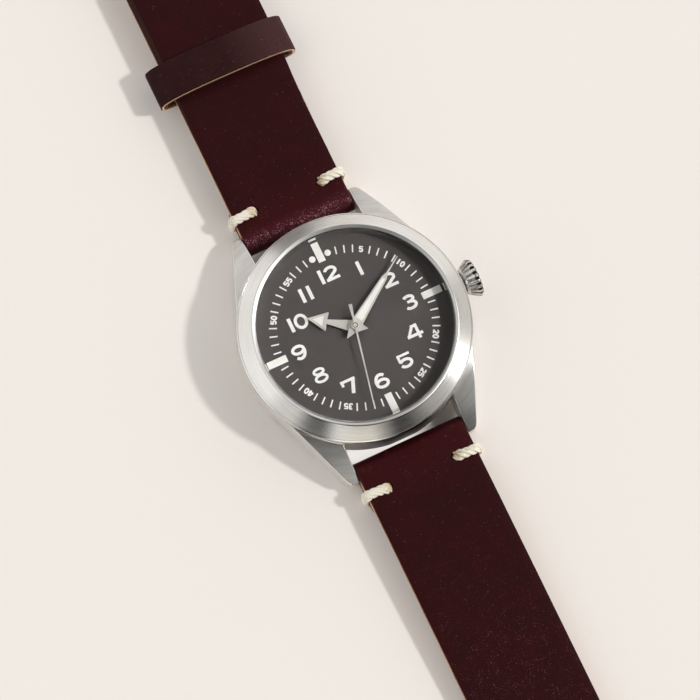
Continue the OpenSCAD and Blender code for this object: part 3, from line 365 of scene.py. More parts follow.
def strap_leather(name, deep, red, roughness, fleck, fold_at=None, painted_sheen_span=None):
    """Burgundy hide; fold_at is how far from the middle it folds round its bar, and the last argument gives
    where in X a painted sheen turns it a greyer brown.
    """
    material, net, shader, position = new_material(name, Metallic=0.0, Specular_IOR_Level=0.07)
    hide = grouped(net, HIDE, Position=position, Pore=2600.0)
    marks = grouped(net, MARKS, Position=position, Scale=1100.0, Amount=0.13)
    base = net.blend(net.span(hide["Mottle"], 0.2, 0.85), deep, red)
    x, y = net.split(position)[:2]
    if fold_at is not None:
        away = net.math("ABSOLUTE", net.minus(net.math("ABSOLUTE", y), fold_at))
        near = net.span(away, 0.0, 0.0085, 1.0, 0.0)
        base = net.blend(net.times(near, 0.85), base, (0.046, 0.0042, 0.0062))
        amount = net.times(hide["Flecks"], net.plus(net.times(near, fleck), 0.12))
        # Painted highlight on the crest over the bar, on the twelve o'clock piece only: dense pale glint
        # specks and a lighter red tone; the coat gives the fold a softer real shine
        crest_painted_sheen = net.times(net.span(away, 0.0003, 0.0019, 1.0, 0.0), net.math("GREATER_THAN", y, 0.0))
        size = net.times(crest_painted_sheen, net.span(net.noise(position, 1100.0, 3.0), 0.35, 0.62, 0.12, 0.40))
        rubbed_band_or_painted_glints = net.math("LESS_THAN", net.cells(position, 4300.0), size)
        base = net.blend(net.times(crest_painted_sheen, 0.3), base, (0.10, 0.018, 0.030))
        base = net.blend(net.times(rubbed_band_or_painted_glints, 0.46), base, (0.60, 0.34, 0.38))
        net.put(shader.inputs["Coat Weight"], net.times(near, 0.12))
        shader.inputs["Coat Roughness"].default_value = 0.3
    else:
        amount = net.times(hide["Flecks"], fleck * 0.5)
    if painted_sheen_span is not None:
        # A painted sheen makes this side lighter, a greyer brown
        base = net.blend(net.span(x, painted_sheen_span[0], painted_sheen_span[1], 0.0, 0.55), base, (0.085, 0.036, 0.037))
    base = net.blend(amount, base, (0.30, 0.13, 0.12))
    base = net.blend(net.times(hide["Pores"], 0.45), base, toned(deep, 0.4))
    base = net.blend(net.times(marks["Mask"], 0.42), base, (0.34, 0.16, 0.14))
    if fold_at is not None:
        # Fine pale dust, thicker down the long piece
        thick = net.span(y, -0.026, -0.058, 0.06, 0.27)
        size = net.times(thick, net.span(net.noise(position, 520.0, 4.0, 0.7), 0.36, 0.62))
        dust = net.math("LESS_THAN", net.cells(position, 3500.0), size)
        base = net.blend(net.times(dust, 0.45), base, (0.20, 0.088, 0.09))
    gloss = net.span(hide["Mottle"], 0.3, 0.7, roughness + 0.06, roughness - 0.05)
    surface(net, shader, base, net.plus(gloss, net.times(hide["Pores"], 0.12)), hide["Height"], 4.5e-5, 0.9)
    return material


def cut_fibre(net, position):
    """Layers of fibre in cut leather."""
    return net.noise(net.vector("MULTIPLY", position, (700, 700, 5200)), 1.0, 3.0, 0.65)


def raw_edge(name, light, dark):
    """Cut leather: fibres in layers, burnished unevenly."""
    material, net, shader, position = new_material(name, Metallic=0.0)
    fibre = cut_fibre(net, position)
    tone = net.weigh(fibre, 0.6, net.noise(position, 420.0, 3.0), 0.4)
    surface(net, shader, net.blend(net.span(tone, 0.35, 0.68), dark, light),
            net.span(tone, 0.3, 0.7, 0.6, 0.85), fibre, 6e-5)
    return material


def burnished_edge(name, flat, settle):
    """A strap's cut side: raw tan fibre in a thin line along its foot, rubbed dark above it."""
    material, net, shader, position = new_material(name, Metallic=0.0, Specular_IOR_Level=0.25)
    parts = net.split(position)
    along = net.minus(net.math("ABSOLUTE", parts[1]), BAR_Y * MM)
    turn = net.span(along, 0.0, settle * MM, 0.0, math.pi)
    rise = (BAR_Z + LOOP_R - flat) * MM / 2
    foot = net.plus(net.times(net.math("COSINE", turn), rise), (flat - STRAP_T) * MM + rise)
    fibre = cut_fibre(net, position)
    wander = net.times(net.noise(position, 330.0, 3.0), 0.0009)
    level = net.plus(net.minus(parts[2], foot), wander)
    rubbed_band_or_painted_glints = net.math("MAXIMUM", net.span(level, 0.0015, 0.0019), net.span(level, -0.0001, 0.0002, 1.0, 0.0))
    grain = net.span(fibre, 0.3, 0.7)
    tan = net.blend(grain, (0.55, 0.25, 0.12), (0.92, 0.58, 0.34))
    dark = net.blend(grain, (0.030, 0.008, 0.007), (0.075, 0.022, 0.016))
    surface(net, shader, net.blend(rubbed_band_or_painted_glints, tan, dark), net.span(fibre, 0.3, 0.7, 0.5, 0.75), fibre, 5e-5)
    return material


def thread_wax():
    material, net, shader, position = new_material("waxed_linen_thread", Metallic=0.0)
    fibre = net.noise(position, 9000.0, 3.0, 0.7)
    stain = net.noise(position, 900.0, 3.0)
    base = net.blend(net.span(fibre, 0.3, 0.7), (0.84, 0.75, 0.60), (1.0, 0.97, 0.88))
    x = net.split(position)[0]
    inner = net.span(net.math("ABSOLUTE", x), 0.0064, 0.0076, 0.85, 0.0)
    base = net.blend(net.times(inner, net.span(stain, 0.35, 0.6)), base, (0.50, 0.34, 0.13))
    surface(net, shader, net.blend(net.span(stain, 0.58, 0.75, 0.0, 0.5), base, (0.50, 0.34, 0.20)),
            net.span(fibre, 0.3, 0.7, 0.45, 0.7), fibre, 3e-5)
    return material


def luminous(name, colour, depth=6e-6):
    material, net, shader, position = new_material(name, Metallic=0.0)
    grain = net.noise(position, 7000.0, 3.0, 0.7)
    tone = net.weigh(grain, 0.5, net.noise(position, 700.0, 2.0), 0.5)
    surface(net, shader, net.blend(net.span(tone, 0.35, 0.65), toned(colour, 0.93), colour),
            net.span(grain, 0.3, 0.7, 0.55, 0.75), grain, depth)
    return material


def crown_steel(name):
    """Satin steel turned about the crown's own axis."""
    material, net, shader, position = new_material(name, Metallic=1.0, Anisotropic=0.5)
    offset = net.vector("SUBTRACT", position, (0, 0, STEM_Z * MM))
    parts = net.split(offset)
    ring = net.add("CombineXYZ", {"X": parts[1], "Y": parts[2], "Z": parts[0]}).outputs[0]
    strokes = grouped(net, TURNED, Position=ring, Fineness=11000.0, Stroke=3.0)
    net.put(shader.inputs["Tangent"], across_strokes(net, offset, (1, 0, 0)))
    surface(net, shader,
            net.blend(net.span(strokes["Shade"], 0.3, 0.7), (0.58, 0.57, 0.54), (0.74, 0.73, 0.70)),
            net.span(strokes["Height"], 0.3, 0.7, 0.2, 0.34), strokes["Height"], 2e-6)
    return material


def strap_wall_steel():
    """The case wall behind the six o'clock strap, with a painted reflection of the dark strap: nearly black
    in the middle, lighter beside the lugs.
    """
    material, net, shader, position = new_material("strap_wall_painted_reflection", Metallic=0.0,
                                                   Specular_IOR_Level=0.08)
    x, y = net.split(position)[:2]
    grain = net.noise(position, 4000.0, 4.0, 0.6)
    # The painted reflection is lighter towards the lugs
    ends = net.times(net.span(net.math("ABSOLUTE", x), 0.0035, 0.009), net.math("LESS_THAN", y, 0.0))
    base = net.blend(ends, (0.014, 0.011, 0.010), (0.36, 0.325, 0.30))
    surface(net, shader, net.blend(net.span(grain, 0.35, 0.65, 0.0, 0.3), base, (0.012, 0.010, 0.009)),
            net.span(grain, 0.35, 0.65, 0.34, 0.48), grain, 1e-6)
    return material


STEEL = (0.72, 0.705, 0.68)
CASE_BRUSHED = brushed_steel("case_steel_brushed_round", (0.88, 0.86, 0.83), 0.33, fineness=5000.0,
                             stroke=7.0, anisotropy=0.7, swing=0.13, depth=4e-6, contrast=0.12)
FLANK_BRUSHED = brushed_steel("case_steel_brushed_level", (0.84, 0.825, 0.80), 0.36, fineness=7000.0,
                              stroke=6.0, anisotropy=0.7, swing=0.1, contrast=0.12, level=True)
BEZEL_BRUSHED = brushed_steel("bezel_steel_brushed_round", (0.86, 0.845, 0.82), 0.28, fineness=6000.0,
                              stroke=3.0, anisotropy=0.96, swing=0.07, contrast=0.08)
BACK_BRUSHED = brushed_steel("back_steel_brushed_round", STEEL, 0.28, fineness=7000.0, stroke=3.0)
POLISHED = polished_steel("polished_edge_steel", (0.78, 0.77, 0.75), 0.08)
REHAUT = plain_grained("rehaut_steel_polished", (0.84, 0.83, 0.81), 1.0, 0.09, 5000.0, 1e-7, 0.04)
BEZEL_LIP = plain_grained("bezel_lip_steel", (0.66, 0.65, 0.63), 1.0, 0.36, 5000.0, 1e-7, 0.04)
STRAP_WALL_REFLECTION_PAINT = strap_wall_steel()
SATIN = plain_grained("satin_steel", (0.56, 0.55, 0.53), 1.0, 0.3, 5000.0, 2e-6)
CROWN = crown_steel("crown_steel_turned")
# Black painted shade for deep grooves and recesses
RECESS_SHADE_PAINT = plain_grained("recess_painted_shade", (0.012, 0.011, 0.011), 0.0, 0.5, 3000.0, 3e-6)
GLASS = sapphire("sapphire_crystal")
DIAL = dial_paint()
PRINT = luminous("dial_print_white", (0.88, 0.87, 0.85), 2e-6)
LUME = luminous("luminous_paint", (0.86, 0.85, 0.81))
HAND_METAL = plain_grained("hands_satin_metal", (0.66, 0.64, 0.60), 1.0, 0.52, 6000.0, 1.2e-6, 0.06)
GASKET_WHITE = plain_grained("white_seal_plastic", (0.62, 0.62, 0.60), 0.0, 0.45, 2500.0, 3e-6)
RUBBER = plain_grained("black_seal_rubber", (0.018, 0.018, 0.018), 0.0, 0.62, 3000.0, 5e-6)
PLASTIC = plain_grained("movement_holder_plastic", (0.74, 0.74, 0.71), 0.0, 0.42, 1800.0, 4e-6, 0.05)
BRASS = plain_grained("movement_brass", (0.66, 0.50, 0.25), 1.0, 0.3, 3500.0, 2e-6)
PLATE = brushed_steel("movement_plate_grained", (0.62, 0.56, 0.42), 0.34, fineness=5000.0, stroke=2.0)
COPPER = brushed_steel("coil_copper_wire", (0.62, 0.27, 0.14), 0.36, fineness=9000.0, stroke=1.0)
CIRCUIT = plain_grained("circuit_board_green", (0.03, 0.11, 0.05), 0.0, 0.4, 2600.0, 3e-6, 0.25)
CELL = brushed_steel("button_cell_steel", (0.6, 0.6, 0.6), 0.22, fineness=6000.0, stroke=2.0)
LEATHER = strap_leather("strap_hide_burgundy", (0.023, 0.0042, 0.0046), (0.038, 0.0057, 0.0070), 0.42, 0.35,
                        fold_at=BAR_Y * MM)
# The keeper's hide carries a painted sheen towards +X
KEEPER_LEATHER = strap_leather("keeper_hide_burgundy", (0.023, 0.0066, 0.0066), (0.035, 0.0092, 0.0098),
                               0.5, 0.5, painted_sheen_span=(0.001, 0.009))
FLESH = raw_edge("strap_hide_back", (0.15, 0.065, 0.048), (0.065, 0.024, 0.019))
RAW = raw_edge("keeper_cut_edge_tan", (0.97, 0.70, 0.43), (0.72, 0.42, 0.24))
RAW_DARK = raw_edge("keeper_cut_edge_dark", (0.13, 0.05, 0.035), (0.045, 0.014, 0.012))
EDGE_SHORT = burnished_edge("strap_edge_short_piece", SHORT_FLAT, SHORT_SETTLE)
EDGE_LONG = burnished_edge("strap_edge_long_piece", LONG_FLAT, LONG_SETTLE)
THREAD = thread_wax()


# Ways of making pieces

def link_new(name, mesh, materials=()):
    piece = bpy.data.objects.new(name, mesh)
    scene.collection.objects.link(piece)
    for material in materials:
        piece.data.materials.append(material)
    return piece


def new_piece(name, verts, faces, materials=(), edges=()):
    mesh = bpy.data.meshes.new(name)
    mesh.from_pydata(verts, edges, faces)
    return link_new(name, mesh, materials)


def only(piece):
    deselect()
    piece.select_set(True)
    bpy.context.view_layer.objects.active = piece


def edit(piece, mode="VERT"):
    only(piece)
    bpy.ops.object.mode_set(mode="EDIT")
    bpy.ops.mesh.select_mode(type=mode)
    bpy.ops.mesh.select_all(action="SELECT")


def leave():
    bpy.ops.object.mode_set(mode="OBJECT")


def apply(piece, kind, **settings):
    only(piece)
    modifier = piece.modifiers.new(kind.lower(), kind)
    for key, value in settings.items():
        setattr(modifier, key, value)
    bpy.ops.object.modifier_apply(modifier=modifier.name)


def smooth(piece, angle=32):
    only(piece)
    bpy.ops.object.shade_smooth_by_angle(angle=math.radians(angle))


def finish_piece(piece, body, slot, *nodes, angle=32):
    smooth(piece, angle)
    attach(piece, body)
    if nodes:
        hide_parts(*nodes)


def tidy_shell(piece):
    edit(piece)
    bpy.ops.mesh.remove_doubles(threshold=1e-7)
    bpy.ops.mesh.normals_make_consistent(inside=False)
    leave()


def rounded_copy(node, body, slot, name, materials, width, angle=28, segments=2, edge_material=0, paint=None,
                 split=None):
    """The node's own form with its sharp edges rounded; paint picks a face's material by its place."""
    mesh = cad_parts[node].data.copy()
    mesh.materials.clear()
    piece = link_new(name, mesh, materials)
    edit(piece)
    bpy.ops.mesh.remove_doubles(threshold=2e-7)
    bpy.ops.mesh.dissolve_limited(angle_limit=math.radians(0.4))
    leave()
    for face in piece.data.polygons:
        face.material_index = 0
    apply(piece, "BEVEL", width=width * MM, segments=segments, limit_method="ANGLE",
          angle_limit=math.radians(angle), use_clamp_overlap=False, material=edge_material,
          miter_outer="MITER_ARC")
    if split:
        edit(piece)
        bpy.ops.mesh.bisect(plane_co=[v * MM for v in split[0]], plane_no=split[1])
        leave()
    if paint:
        for face in piece.data.polygons:
            index = paint(face.center / MM, face.normal)
            if index is not None:
                face.material_index = index
    finish_piece(piece, body, slot, node, angle=40)
    apply(piece, "WEIGHTED_NORMAL", mode="FACE_AREA", weight=100, keep_sharp=True)


def turned(name, profile, steps, materials):
    """A closed profile of (radius, height) points spun round the Z axis."""
    points = [(r * MM, 0, z * MM) for r, z in profile]
    count = len(points)
    piece = new_piece(name, points, [], materials, [(k, (k + 1) % count) for k in range(count)])
    edit(piece)
    bpy.ops.mesh.spin(steps=steps, angle=2 * math.pi, center=(0, 0, 0), axis=(0, 0, 1))
    leave()
    tidy_shell(piece)
    return piece


# Case, bezel, crystal

def case_walls(place, normal):
    """The upright walls have level strokes; the one between the lugs at six o'clock gets a painted reflection
    of the dark strap.
    """
    if abs(normal.z) < 0.5 and abs(place.x) < LUG_GAP / 2 - 0.1 and abs(place.y) > 15.5:
        return 2 if place.y < 0 else 3
    if abs(normal.z) < 0.35 and abs(place.x) > LUG_GAP / 2 + 0.6:
        return 3
    return None


rounded_copy("mid_case", "case", "brushed_steel_case", "case_middle",
             [CASE_BRUSHED, POLISHED, STRAP_WALL_REFLECTION_PAINT, FLANK_BRUSHED], 0.14, edge_material=1, paint=case_walls)

# The bezel's brushed slope lies between these radii, above its side; inside the lip radius it is grained
SLOPE_IN, SLOPE_OUT, SIDE_TOP = 17.35, 19.41, 8.7
LIP_R = 17.3
bezel = turned("bezel_ring", [
    (19.0, 8.05), (19.6, 8.05), (19.7, 8.08), (19.75, 8.15), (19.75, 8.6), (19.71, 8.72), (19.63, 8.80),
    (19.52, 8.88), (19.50, 8.83), (19.42, 8.90), (19.40, 8.985), (19.0, 9.315), (18.2, 9.955),
    (17.42, 10.545), (17.28, 10.64), (17.15, 10.68), (17.02, 10.66), (16.60, 10.42),
    (16.60, 10.13), (17.0, 10.1), (17.2, 9.0), (18.6, 8.6), (19.0, 8.5)],
    240, (BEZEL_BRUSHED, POLISHED, BEZEL_LIP))
for face in bezel.data.polygons:
    radius = math.hypot(face.center.x, face.center.y) / MM
    if SLOPE_IN < radius < SLOPE_OUT and face.center.z > SIDE_TOP * MM:
        face.material_index = 0
    else:
        face.material_index = 2 if radius < LIP_R else 1
finish_piece(bezel, "case", "brushed_steel_case", "bezel", angle=24)


def set_materials(node, *materials):
    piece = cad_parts[node]
    for k, material in enumerate(materials):
        if k < len(piece.material_slots):
            piece.material_slots[k].material = material
        else:
            piece.data.materials.append(material)


set_materials("crystal", GLASS)
set_materials("crystal_gasket", GASKET_WHITE)
set_materials("rehaut_ring", REHAUT)
set_materials("dial", DIAL)
rounded_copy("quarter_markers", "case", "white_lume", "quarter_bars", [LUME], 0.04)
rounded_copy("case_back", "case", "brushed_steel_case", "case_back_plate", [BACK_BRUSHED, POLISHED], 0.1,
             edge_material=1)


# Dial print

def arc(cx, cy, rx, ry, a0, a1, steps=20):
    return [(cx + rx * math.cos(math.radians(a0 + (a1 - a0) * k / steps)),
             cy + ry * math.sin(math.radians(a0 + (a1 - a0) * k / steps))) for k in range(steps + 1)]


# Numerals as strokes: a width and the points that the stroke's middle follows, round the numeral's centre
NUMERALS = {
    "0": [(0.56, arc(0, 0, 0.92, 1.08, 0, 360, 36))],
    "1": [(0.65, [(0, -1.25), (0, 1.25)])],
    "2": [(0.56, arc(0.02, 0.42, 0.90, 0.60, 168, -28, 20) + [(-0.86, -0.95)]),
          (0.55, [(-1.16, -1.0), (1.22, -1.0)])],
    "3": [(0.55, arc(-0.02, 0.60, 0.84, 0.48, 150, -82, 18)),
          (0.55, arc(-0.02, -0.49, 0.93, 0.59, 84, -152, 20)), (0.5, [(-0.42, 0.11), (0.1, 0.11)])],
    "4": [(0.52, [(0.02, 1.05), (-1.15, -0.5)]), (0.55, [(-1.4, -0.52), (1.42, -0.52)]),
          (0.55, [(0.65, -1.3), (0.65, 1.3)]), (0.5, [(-0.25, 1.05), (0.8, 1.05)])],
    "5": [(0.46, [(-1.1, 1.06), (1.15, 1.06)]), (0.48, [(-0.9, 1.2), (-0.9, -0.1)]),
          (0.54, arc(0.0, -0.40, 0.97, 0.64, 158, -158, 26))],
    "6": [(0.55, arc(0.07, -0.45, 0.96, 0.62, 0, 360, 32)), (0.56, arc(0.1, -0.25, 1.02, 1.33, 180, 50, 18))],
    "7": [(0.5, [(-1.32, 1.06), (1.3, 1.06)]), (0.5, [(-1.07, 1.25), (-1.07, 0.3)]),
          (0.66, [(0.98, 1.05), (0.02, -1.3)])],
    "8": [(0.47, arc(0, 0.66, 0.84, 0.46, 0, 360, 28)), (0.49, arc(0, -0.56, 0.98, 0.56, 0, 360, 30))],
    "9": [(0.55, arc(-0.07, 0.45, 0.96, 0.62, 0, 360, 32)), (0.56, arc(-0.1, 0.25, 1.02, 1.33, 0, -130, 18))],
}
HOURS = [("1", 5.125, 8.85), ("2", 8.80, 4.93), ("3", 10.2, 0), ("4", 8.575, -4.95), ("5", 5.1, -8.73),
         ("6", 0, -10.15), ("7", -5.07, -8.78), ("8", -8.75, -4.98), ("9", -10.17, 0), ("1", -9.5, 4.75),
         ("0", -7.7, 4.7), ("1", -5.62, 8.55), ("1", -4.22, 8.55), ("1", -1.375, 10.12), ("2", 0.42, 10.12)]
SMALL_NUMERALS = (5, 10, 20, 25, 35, 40, 50, 55)
PRINT_Z = DIAL_Z + 0.015
PRINT_T = 0.02
TRACK_IN, TRACK_OUT, TRACK_NUMERAL_R = 12.95, 14.3, 13.55


def ribbon(verts, faces, points, width, z):
    """Adds a flat band of that width that follows the points, mitred at its turns."""
    closed = math.dist(points[0], points[-1]) < 1e-6
    if closed:
        points = points[:-1]
    count = len(points)
    first = len(verts)
    for k in range(count):
        before = points[k - 1] if k or closed else points[k]
        after = points[(k + 1) % count] if k < count - 1 or closed else points[k]
        here = Vector(points[k])
        into = (here - Vector(before)).normalized() if tuple(before) != tuple(points[k]) else None
        out = (Vector(after) - here).normalized() if tuple(after) != tuple(points[k]) else None
        into, out = into or out, out or into
        middle = (into + out).normalized()
        side = Vector((-middle.y, middle.x))
        reach = width / 2 / max(0.35, side.dot(Vector((-out.y, out.x))))
        for sign in (1, -1):
            p = here + side * reach * sign
            verts.append((p.x * MM, p.y * MM, z * MM))
    for k in range(count if closed else count - 1):
        a, b = first + 2 * k, first + 2 * ((k + 1) % count)
        faces.append((a, a + 1, b + 1, b))


def numeral_strokes(verts, faces, mark, centre, size=(1, 1), bold=0.92, turn=0):
    cos, sin = math.cos(turn), math.sin(turn)
    for layer, (width, points) in enumerate(NUMERALS[mark]):
        placed = [(centre[0] + x * size[0] * cos - y * size[1] * sin,
                   centre[1] + x * size[0] * sin + y * size[1] * cos) for x, y in points]
        ribbon(verts, faces, placed, width * bold, PRINT_Z + 0.003 * layer)


def printed(name, verts, faces):
    piece = new_piece(name, verts, faces, [PRINT])
    edit(piece, "FACE")
    bpy.ops.mesh.normals_make_consistent(inside=False)
    leave()
    if sum(face.normal.z for face in piece.data.polygons) < 0:
        edit(piece, "FACE")
        bpy.ops.mesh.flip_normals()
        leave()
    apply(piece, "SOLIDIFY", thickness=PRINT_T * MM, offset=1)
    finish_piece(piece, "case", "white_lume")


def hour_numerals():
    verts, faces = [], []
    for mark, x, y in HOURS:
        numeral_strokes(verts, faces, mark, (x, y))
    printed("hour_numerals", verts, faces)


def minute_track():
    verts, faces = [], []
    left_out = {0, 15, 30, 45, 1, 59, *SMALL_NUMERALS}
    for minute in range(60):
        turn = math.radians(90 - 6 * minute)
        cos, sin = math.cos(turn), math.sin(turn)
        if minute not in left_out:
            ribbon(verts, faces, [(TRACK_IN * cos, TRACK_IN * sin), (TRACK_OUT * cos, TRACK_OUT * sin)],
                   0.235, PRINT_Z)
        elif minute in SMALL_NUMERALS:
            up = turn - math.pi / 2
            digits = str(minute)
            for k, mark in enumerate(digits):
                aside = (k - (len(digits) - 1) / 2) * 0.80
                centre = (TRACK_NUMERAL_R * cos + aside * math.cos(up),
                          TRACK_NUMERAL_R * sin + aside * math.sin(up))
                numeral_strokes(verts, faces, mark, centre, (0.275, 0.40), 0.47, up)
    printed("minute_track", verts, faces)


hour_numerals()
minute_track()


# Hands

for node, body, width in (("hour_hand", "hours", 0.035), ("minute_hand", "minutes", 0.035),
                          ("second_hand", "seconds", 0.03)):
    rounded_copy(node, body, "satin_hands", node + "_satin", [HAND_METAL], width, angle=40)
hub_cap = turned("seconds_hub_cap", [
    (0, 9.36), (0.66, 9.36), (0.66, 9.43), (0.62, 9.46), (0.46, 9.46), (0.43, 9.40),
    (0.36, 9.40), (0.33, 9.45), (0.17, 9.45), (0.15, 9.50), (0, 9.50)],
    64, (HAND_METAL, RECESS_SHADE_PAINT))
# The groove round the hub gets a painted shade
for face in hub_cap.data.polygons:
    radius = math.hypot(face.center.x, face.center.y) / MM
    face.material_index = 1 if 0.34 < radius < 0.46 and face.center.z < 9.45 * MM else 0
finish_piece(hub_cap, "seconds", "satin_hands")
for node, body in (("hour_lume", "hours"), ("minute_lume", "minutes")):
    set_materials(node, LUME)


# Crown

RECESS_FROM = 1.62


def crown_recess(place, normal):
    """The deep parts of the flutes near the rim get a painted shade, black."""
    along = place.x - CROWN_X
    radius = math.hypot(place.y, place.z - STEM_Z)
    ridge = min(3.35, 2.35 + 0.645 * (along - 0.15))
    if RECESS_FROM < along < 2.3 and 2.2 < radius < ridge - 0.14:
        return 1
    return None


rounded_copy("crown", "crown", "brushed_steel_case", "crown_fluted", [CROWN, RECESS_SHADE_PAINT], 0.06,
             paint=crown_recess, split=((CROWN_X + RECESS_FROM, 0, STEM_Z), (1, 0, 0)))


# Strap

def ease(t):
    return 0 if t <= 0 else 1 if t >= 1 else (1 - math.cos(math.pi * t)) / 2


def leather_top(s, flat, settle):
    """Height of the leather's top, s from the bar, where it comes to flat over the length settle."""
    return flat + (BAR_Z + LOOP_R - flat) * (1 - ease(s / settle))


def run(a, b, step):
    count = max(1, round(math.dist(a, b) / step))
    return [(a[0] + (b[0] - a[0]) * k / count, a[1] + (b[1] - a[1]) * k / count) for k in range(1, count + 1)]


def side_outline(flat, settle, far_end):
    """Side view of a strap piece, anticlockwise from under the bar, as (distance from the bar, height)."""
    points = arc(0, BAR_Z, LOOP_FRONT, LOOP_R, 270, 90, 24)
    points += [(settle * k / 30, leather_top(settle * k / 30, flat, settle)) for k in range(1, 31)]
    points += far_end
    back = FLAP + 0.05
    places = [back + (settle - back) * k / 24 for k in range(23, -1, -1)]
    if points[-1][0] > settle + 0.5:
        points += run(points[-1], (settle, flat - STRAP_T), 2.0)
    points += [(place, leather_top(place, flat, settle) - STRAP_T) for place in places]
    flap_z = BAR_Z - LOOP_R
    top = leather_top(FLAP, flat, settle) - STRAP_T
    low = max(flap_z, min(flap_z + 0.3, top - 0.5))
    points += [(FLAP - 0.1, max(top - 0.25, low + 0.1)), (FLAP - 0.25, low), (FLAP - 1.2, flap_z + 0.02)]
    points += run((FLAP - 1.2, flap_z + 0.02), (0.8, flap_z), 1.0)
    return points


def outline_normals(points):
    count = len(points)
    normals = []
    for k in range(count):
        (x0, y0), (x1, y1) = points[k - 1], points[(k + 1) % count]
        length = math.hypot(x1 - x0, y1 - y0) or 1
        normals.append(((y1 - y0) / length, -(x1 - x0) / length))
    area = sum(points[k - 1][0] * points[k][1] - points[k][0] * points[k - 1][1] for k in range(count))
    return normals if area > 0 else [(-x, -y) for x, y in normals]


def strap_slab(name, outline, sign, materials):
    """The side view carried across the strap's width, its long edges eased, its cut sides left raw."""
    half_width, round_r = STRAP_W / 2, 0.2
    normals = outline_normals(outline)
    slices = [(-half_width, round_r * 0.75)]
    for k in range(1, 5):
        a = math.radians(90 * k / 4)
        slices.append((-half_width + round_r * (1 - math.cos(a)), round_r * 0.75 * (1 - math.sin(a))))
    inner = half_width - round_r
    slices += [(-inner + 2 * inner * k / 12, 0) for k in range(1, 12)]
    slices += [(-x, inset) for x, inset in reversed(slices[:5])]
    count = len(outline)
    verts, faces = [], []
    for x, inset in slices:
        for (s, z), (ns, nz) in zip(outline, normals):
            verts.append((x * MM, sign * (BAR_Y + s - ns * inset) * MM, (z - nz * inset) * MM))
    for j in range(len(slices) - 1):
        for k in range(count):
            a, b = j * count + k, j * count + (k + 1) % count
            faces.append((a, b, b + count, a + count))
    faces.append(tuple(range(count)))
    faces.append(tuple(reversed(range((len(slices) - 1) * count, len(slices) * count))))
    piece = new_piece(name, verts, faces, materials)
    tidy_shell(piece)
    return piece


def rod_cutter(location, radius, depth=10, rotation=(0, 0, 0)):
    deselect()
    bpy.ops.mesh.primitive_cylinder_add(vertices=32, radius=radius * MM, depth=depth * MM,
                                        location=[v * MM for v in location], rotation=rotation)
    return bpy.context.object


def bar_cutter(y, z):
    """The hole for a bar that lies across the strap."""
    return rod_cutter((0, y, z), BAR_HOLE_R, 30, (0, math.pi / 2, 0))


def box_cutter(location, size):
    deselect()
    bpy.ops.mesh.primitive_cube_add(size=1, location=[v * MM for v in location])
    bpy.context.object.scale = [v * MM for v in size]
    bpy.ops.object.transform_apply(location=False, rotation=False, scale=True)
    return bpy.context.object


def stitch_cutters(sign):
    return [rod_cutter((side * STITCH_X, sign * (BAR_Y + STITCH_AT), 3), STITCH_W / 2) for side in (1, -1)]


def cut(piece, tools):
    for tool in tools:
        apply(piece, "BOOLEAN", operation="DIFFERENCE", solver="EXACT", object=tool)
    for tool in tools:
        bpy.data.objects.remove(tool, do_unlink=True)


def sway(s):
    """How far the short piece lies off its line, as leather does that was shaped by hand."""
    return 0.85 * (ease((s - 16) / 22) - ease((s - 50) / 20))


def paint_strap(piece, sign, flat, settle):
    """Leather outside, its cut sides and its raw back."""
    for face in piece.data.polygons:
        x = abs(face.center.x) / MM
        s = sign * face.center.y / MM - BAR_Y
        z = face.center.z / MM
        if abs(face.normal.x) > 0.93 and x > STRAP_W / 2 - 0.5:
            face.material_index = 1
        elif face.normal.z < -0.6 and z < leather_top(max(s, 0), flat, settle) - 1.2 and s > 1:
            face.material_index = 2
        else:
            face.material_index = 0


def strap_short():
    flat = SHORT_FLAT
    straight = SHORT_LEN - 4
    far = run((SHORT_SETTLE, flat), (straight, flat), 2.0)
    far += arc(SHORT_LEN, BUCKLE_Z, LOOP_R, LOOP_R, 104, -104, 28)
    far += [(straight, flat - STRAP_T)]
    piece = strap_slab("strap_short_piece", side_outline(flat, SHORT_SETTLE, far), 1,
                       (LEATHER, EDGE_SHORT, FLESH))
    slot_length = 10
    tongue_slot = box_cutter((0, BUCKLE_Y - 4.5 + slot_length / 2, 3), (3.0, slot_length, 12))
    cut(piece, [bar_cutter(BAR_Y, BAR_Z), bar_cutter(BUCKLE_Y, BUCKLE_Z), tongue_slot, *stitch_cutters(1)])
    for vertex in piece.data.vertices:
        vertex.co.x += sway(vertex.co.y / MM - BAR_Y) * MM
    paint_strap(piece, 1, flat, SHORT_SETTLE)
    finish_piece(piece, "strap_short", "strap_leather", "strap_buckle_side", angle=38)


def strap_long():
    flat = LONG_FLAT
    far = run((LONG_SETTLE, flat), (LONG_LEN + 1, flat), 2.0) + [(LONG_LEN + 1, flat - STRAP_T)]
    piece = strap_slab("strap_long_piece", side_outline(flat, LONG_SETTLE, far), -1,
                       (LEATHER, EDGE_LONG, FLESH))
    first = LONG_LEN - 27
    cut(piece, [bar_cutter(-BAR_Y, BAR_Z), *stitch_cutters(-1)]
        + [rod_cutter((0, -BAR_Y - first + k * HOLE_PITCH, 2), HOLE_D / 2, 8) for k in range(HOLE_COUNT)])
    # The tip narrows on two arcs that meet in a blunt end
    half, arc_r, blunt = STRAP_W / 2, 15, 1.2
    sweep = math.acos((blunt - half + arc_r) / arc_r)
    start = LONG_LEN - arc_r * math.sin(sweep)
    for vertex in piece.data.vertices:
        s = -vertex.co.y / MM - BAR_Y
        if s > start:
            reach = min(1, (s - start) / (LONG_LEN + 1 - start)) * (LONG_LEN - start)
            width = half - arc_r + math.sqrt(arc_r ** 2 - reach ** 2)
            vertex.co.x *= width / half
            vertex.co.y = -(BAR_Y + start + reach) * MM
    paint_strap(piece, -1, flat, LONG_SETTLE)
    finish_piece(piece, "strap_long", "strap_leather", "strap_hole_side", angle=38)


strap_short()
strap_long()


# Stitches

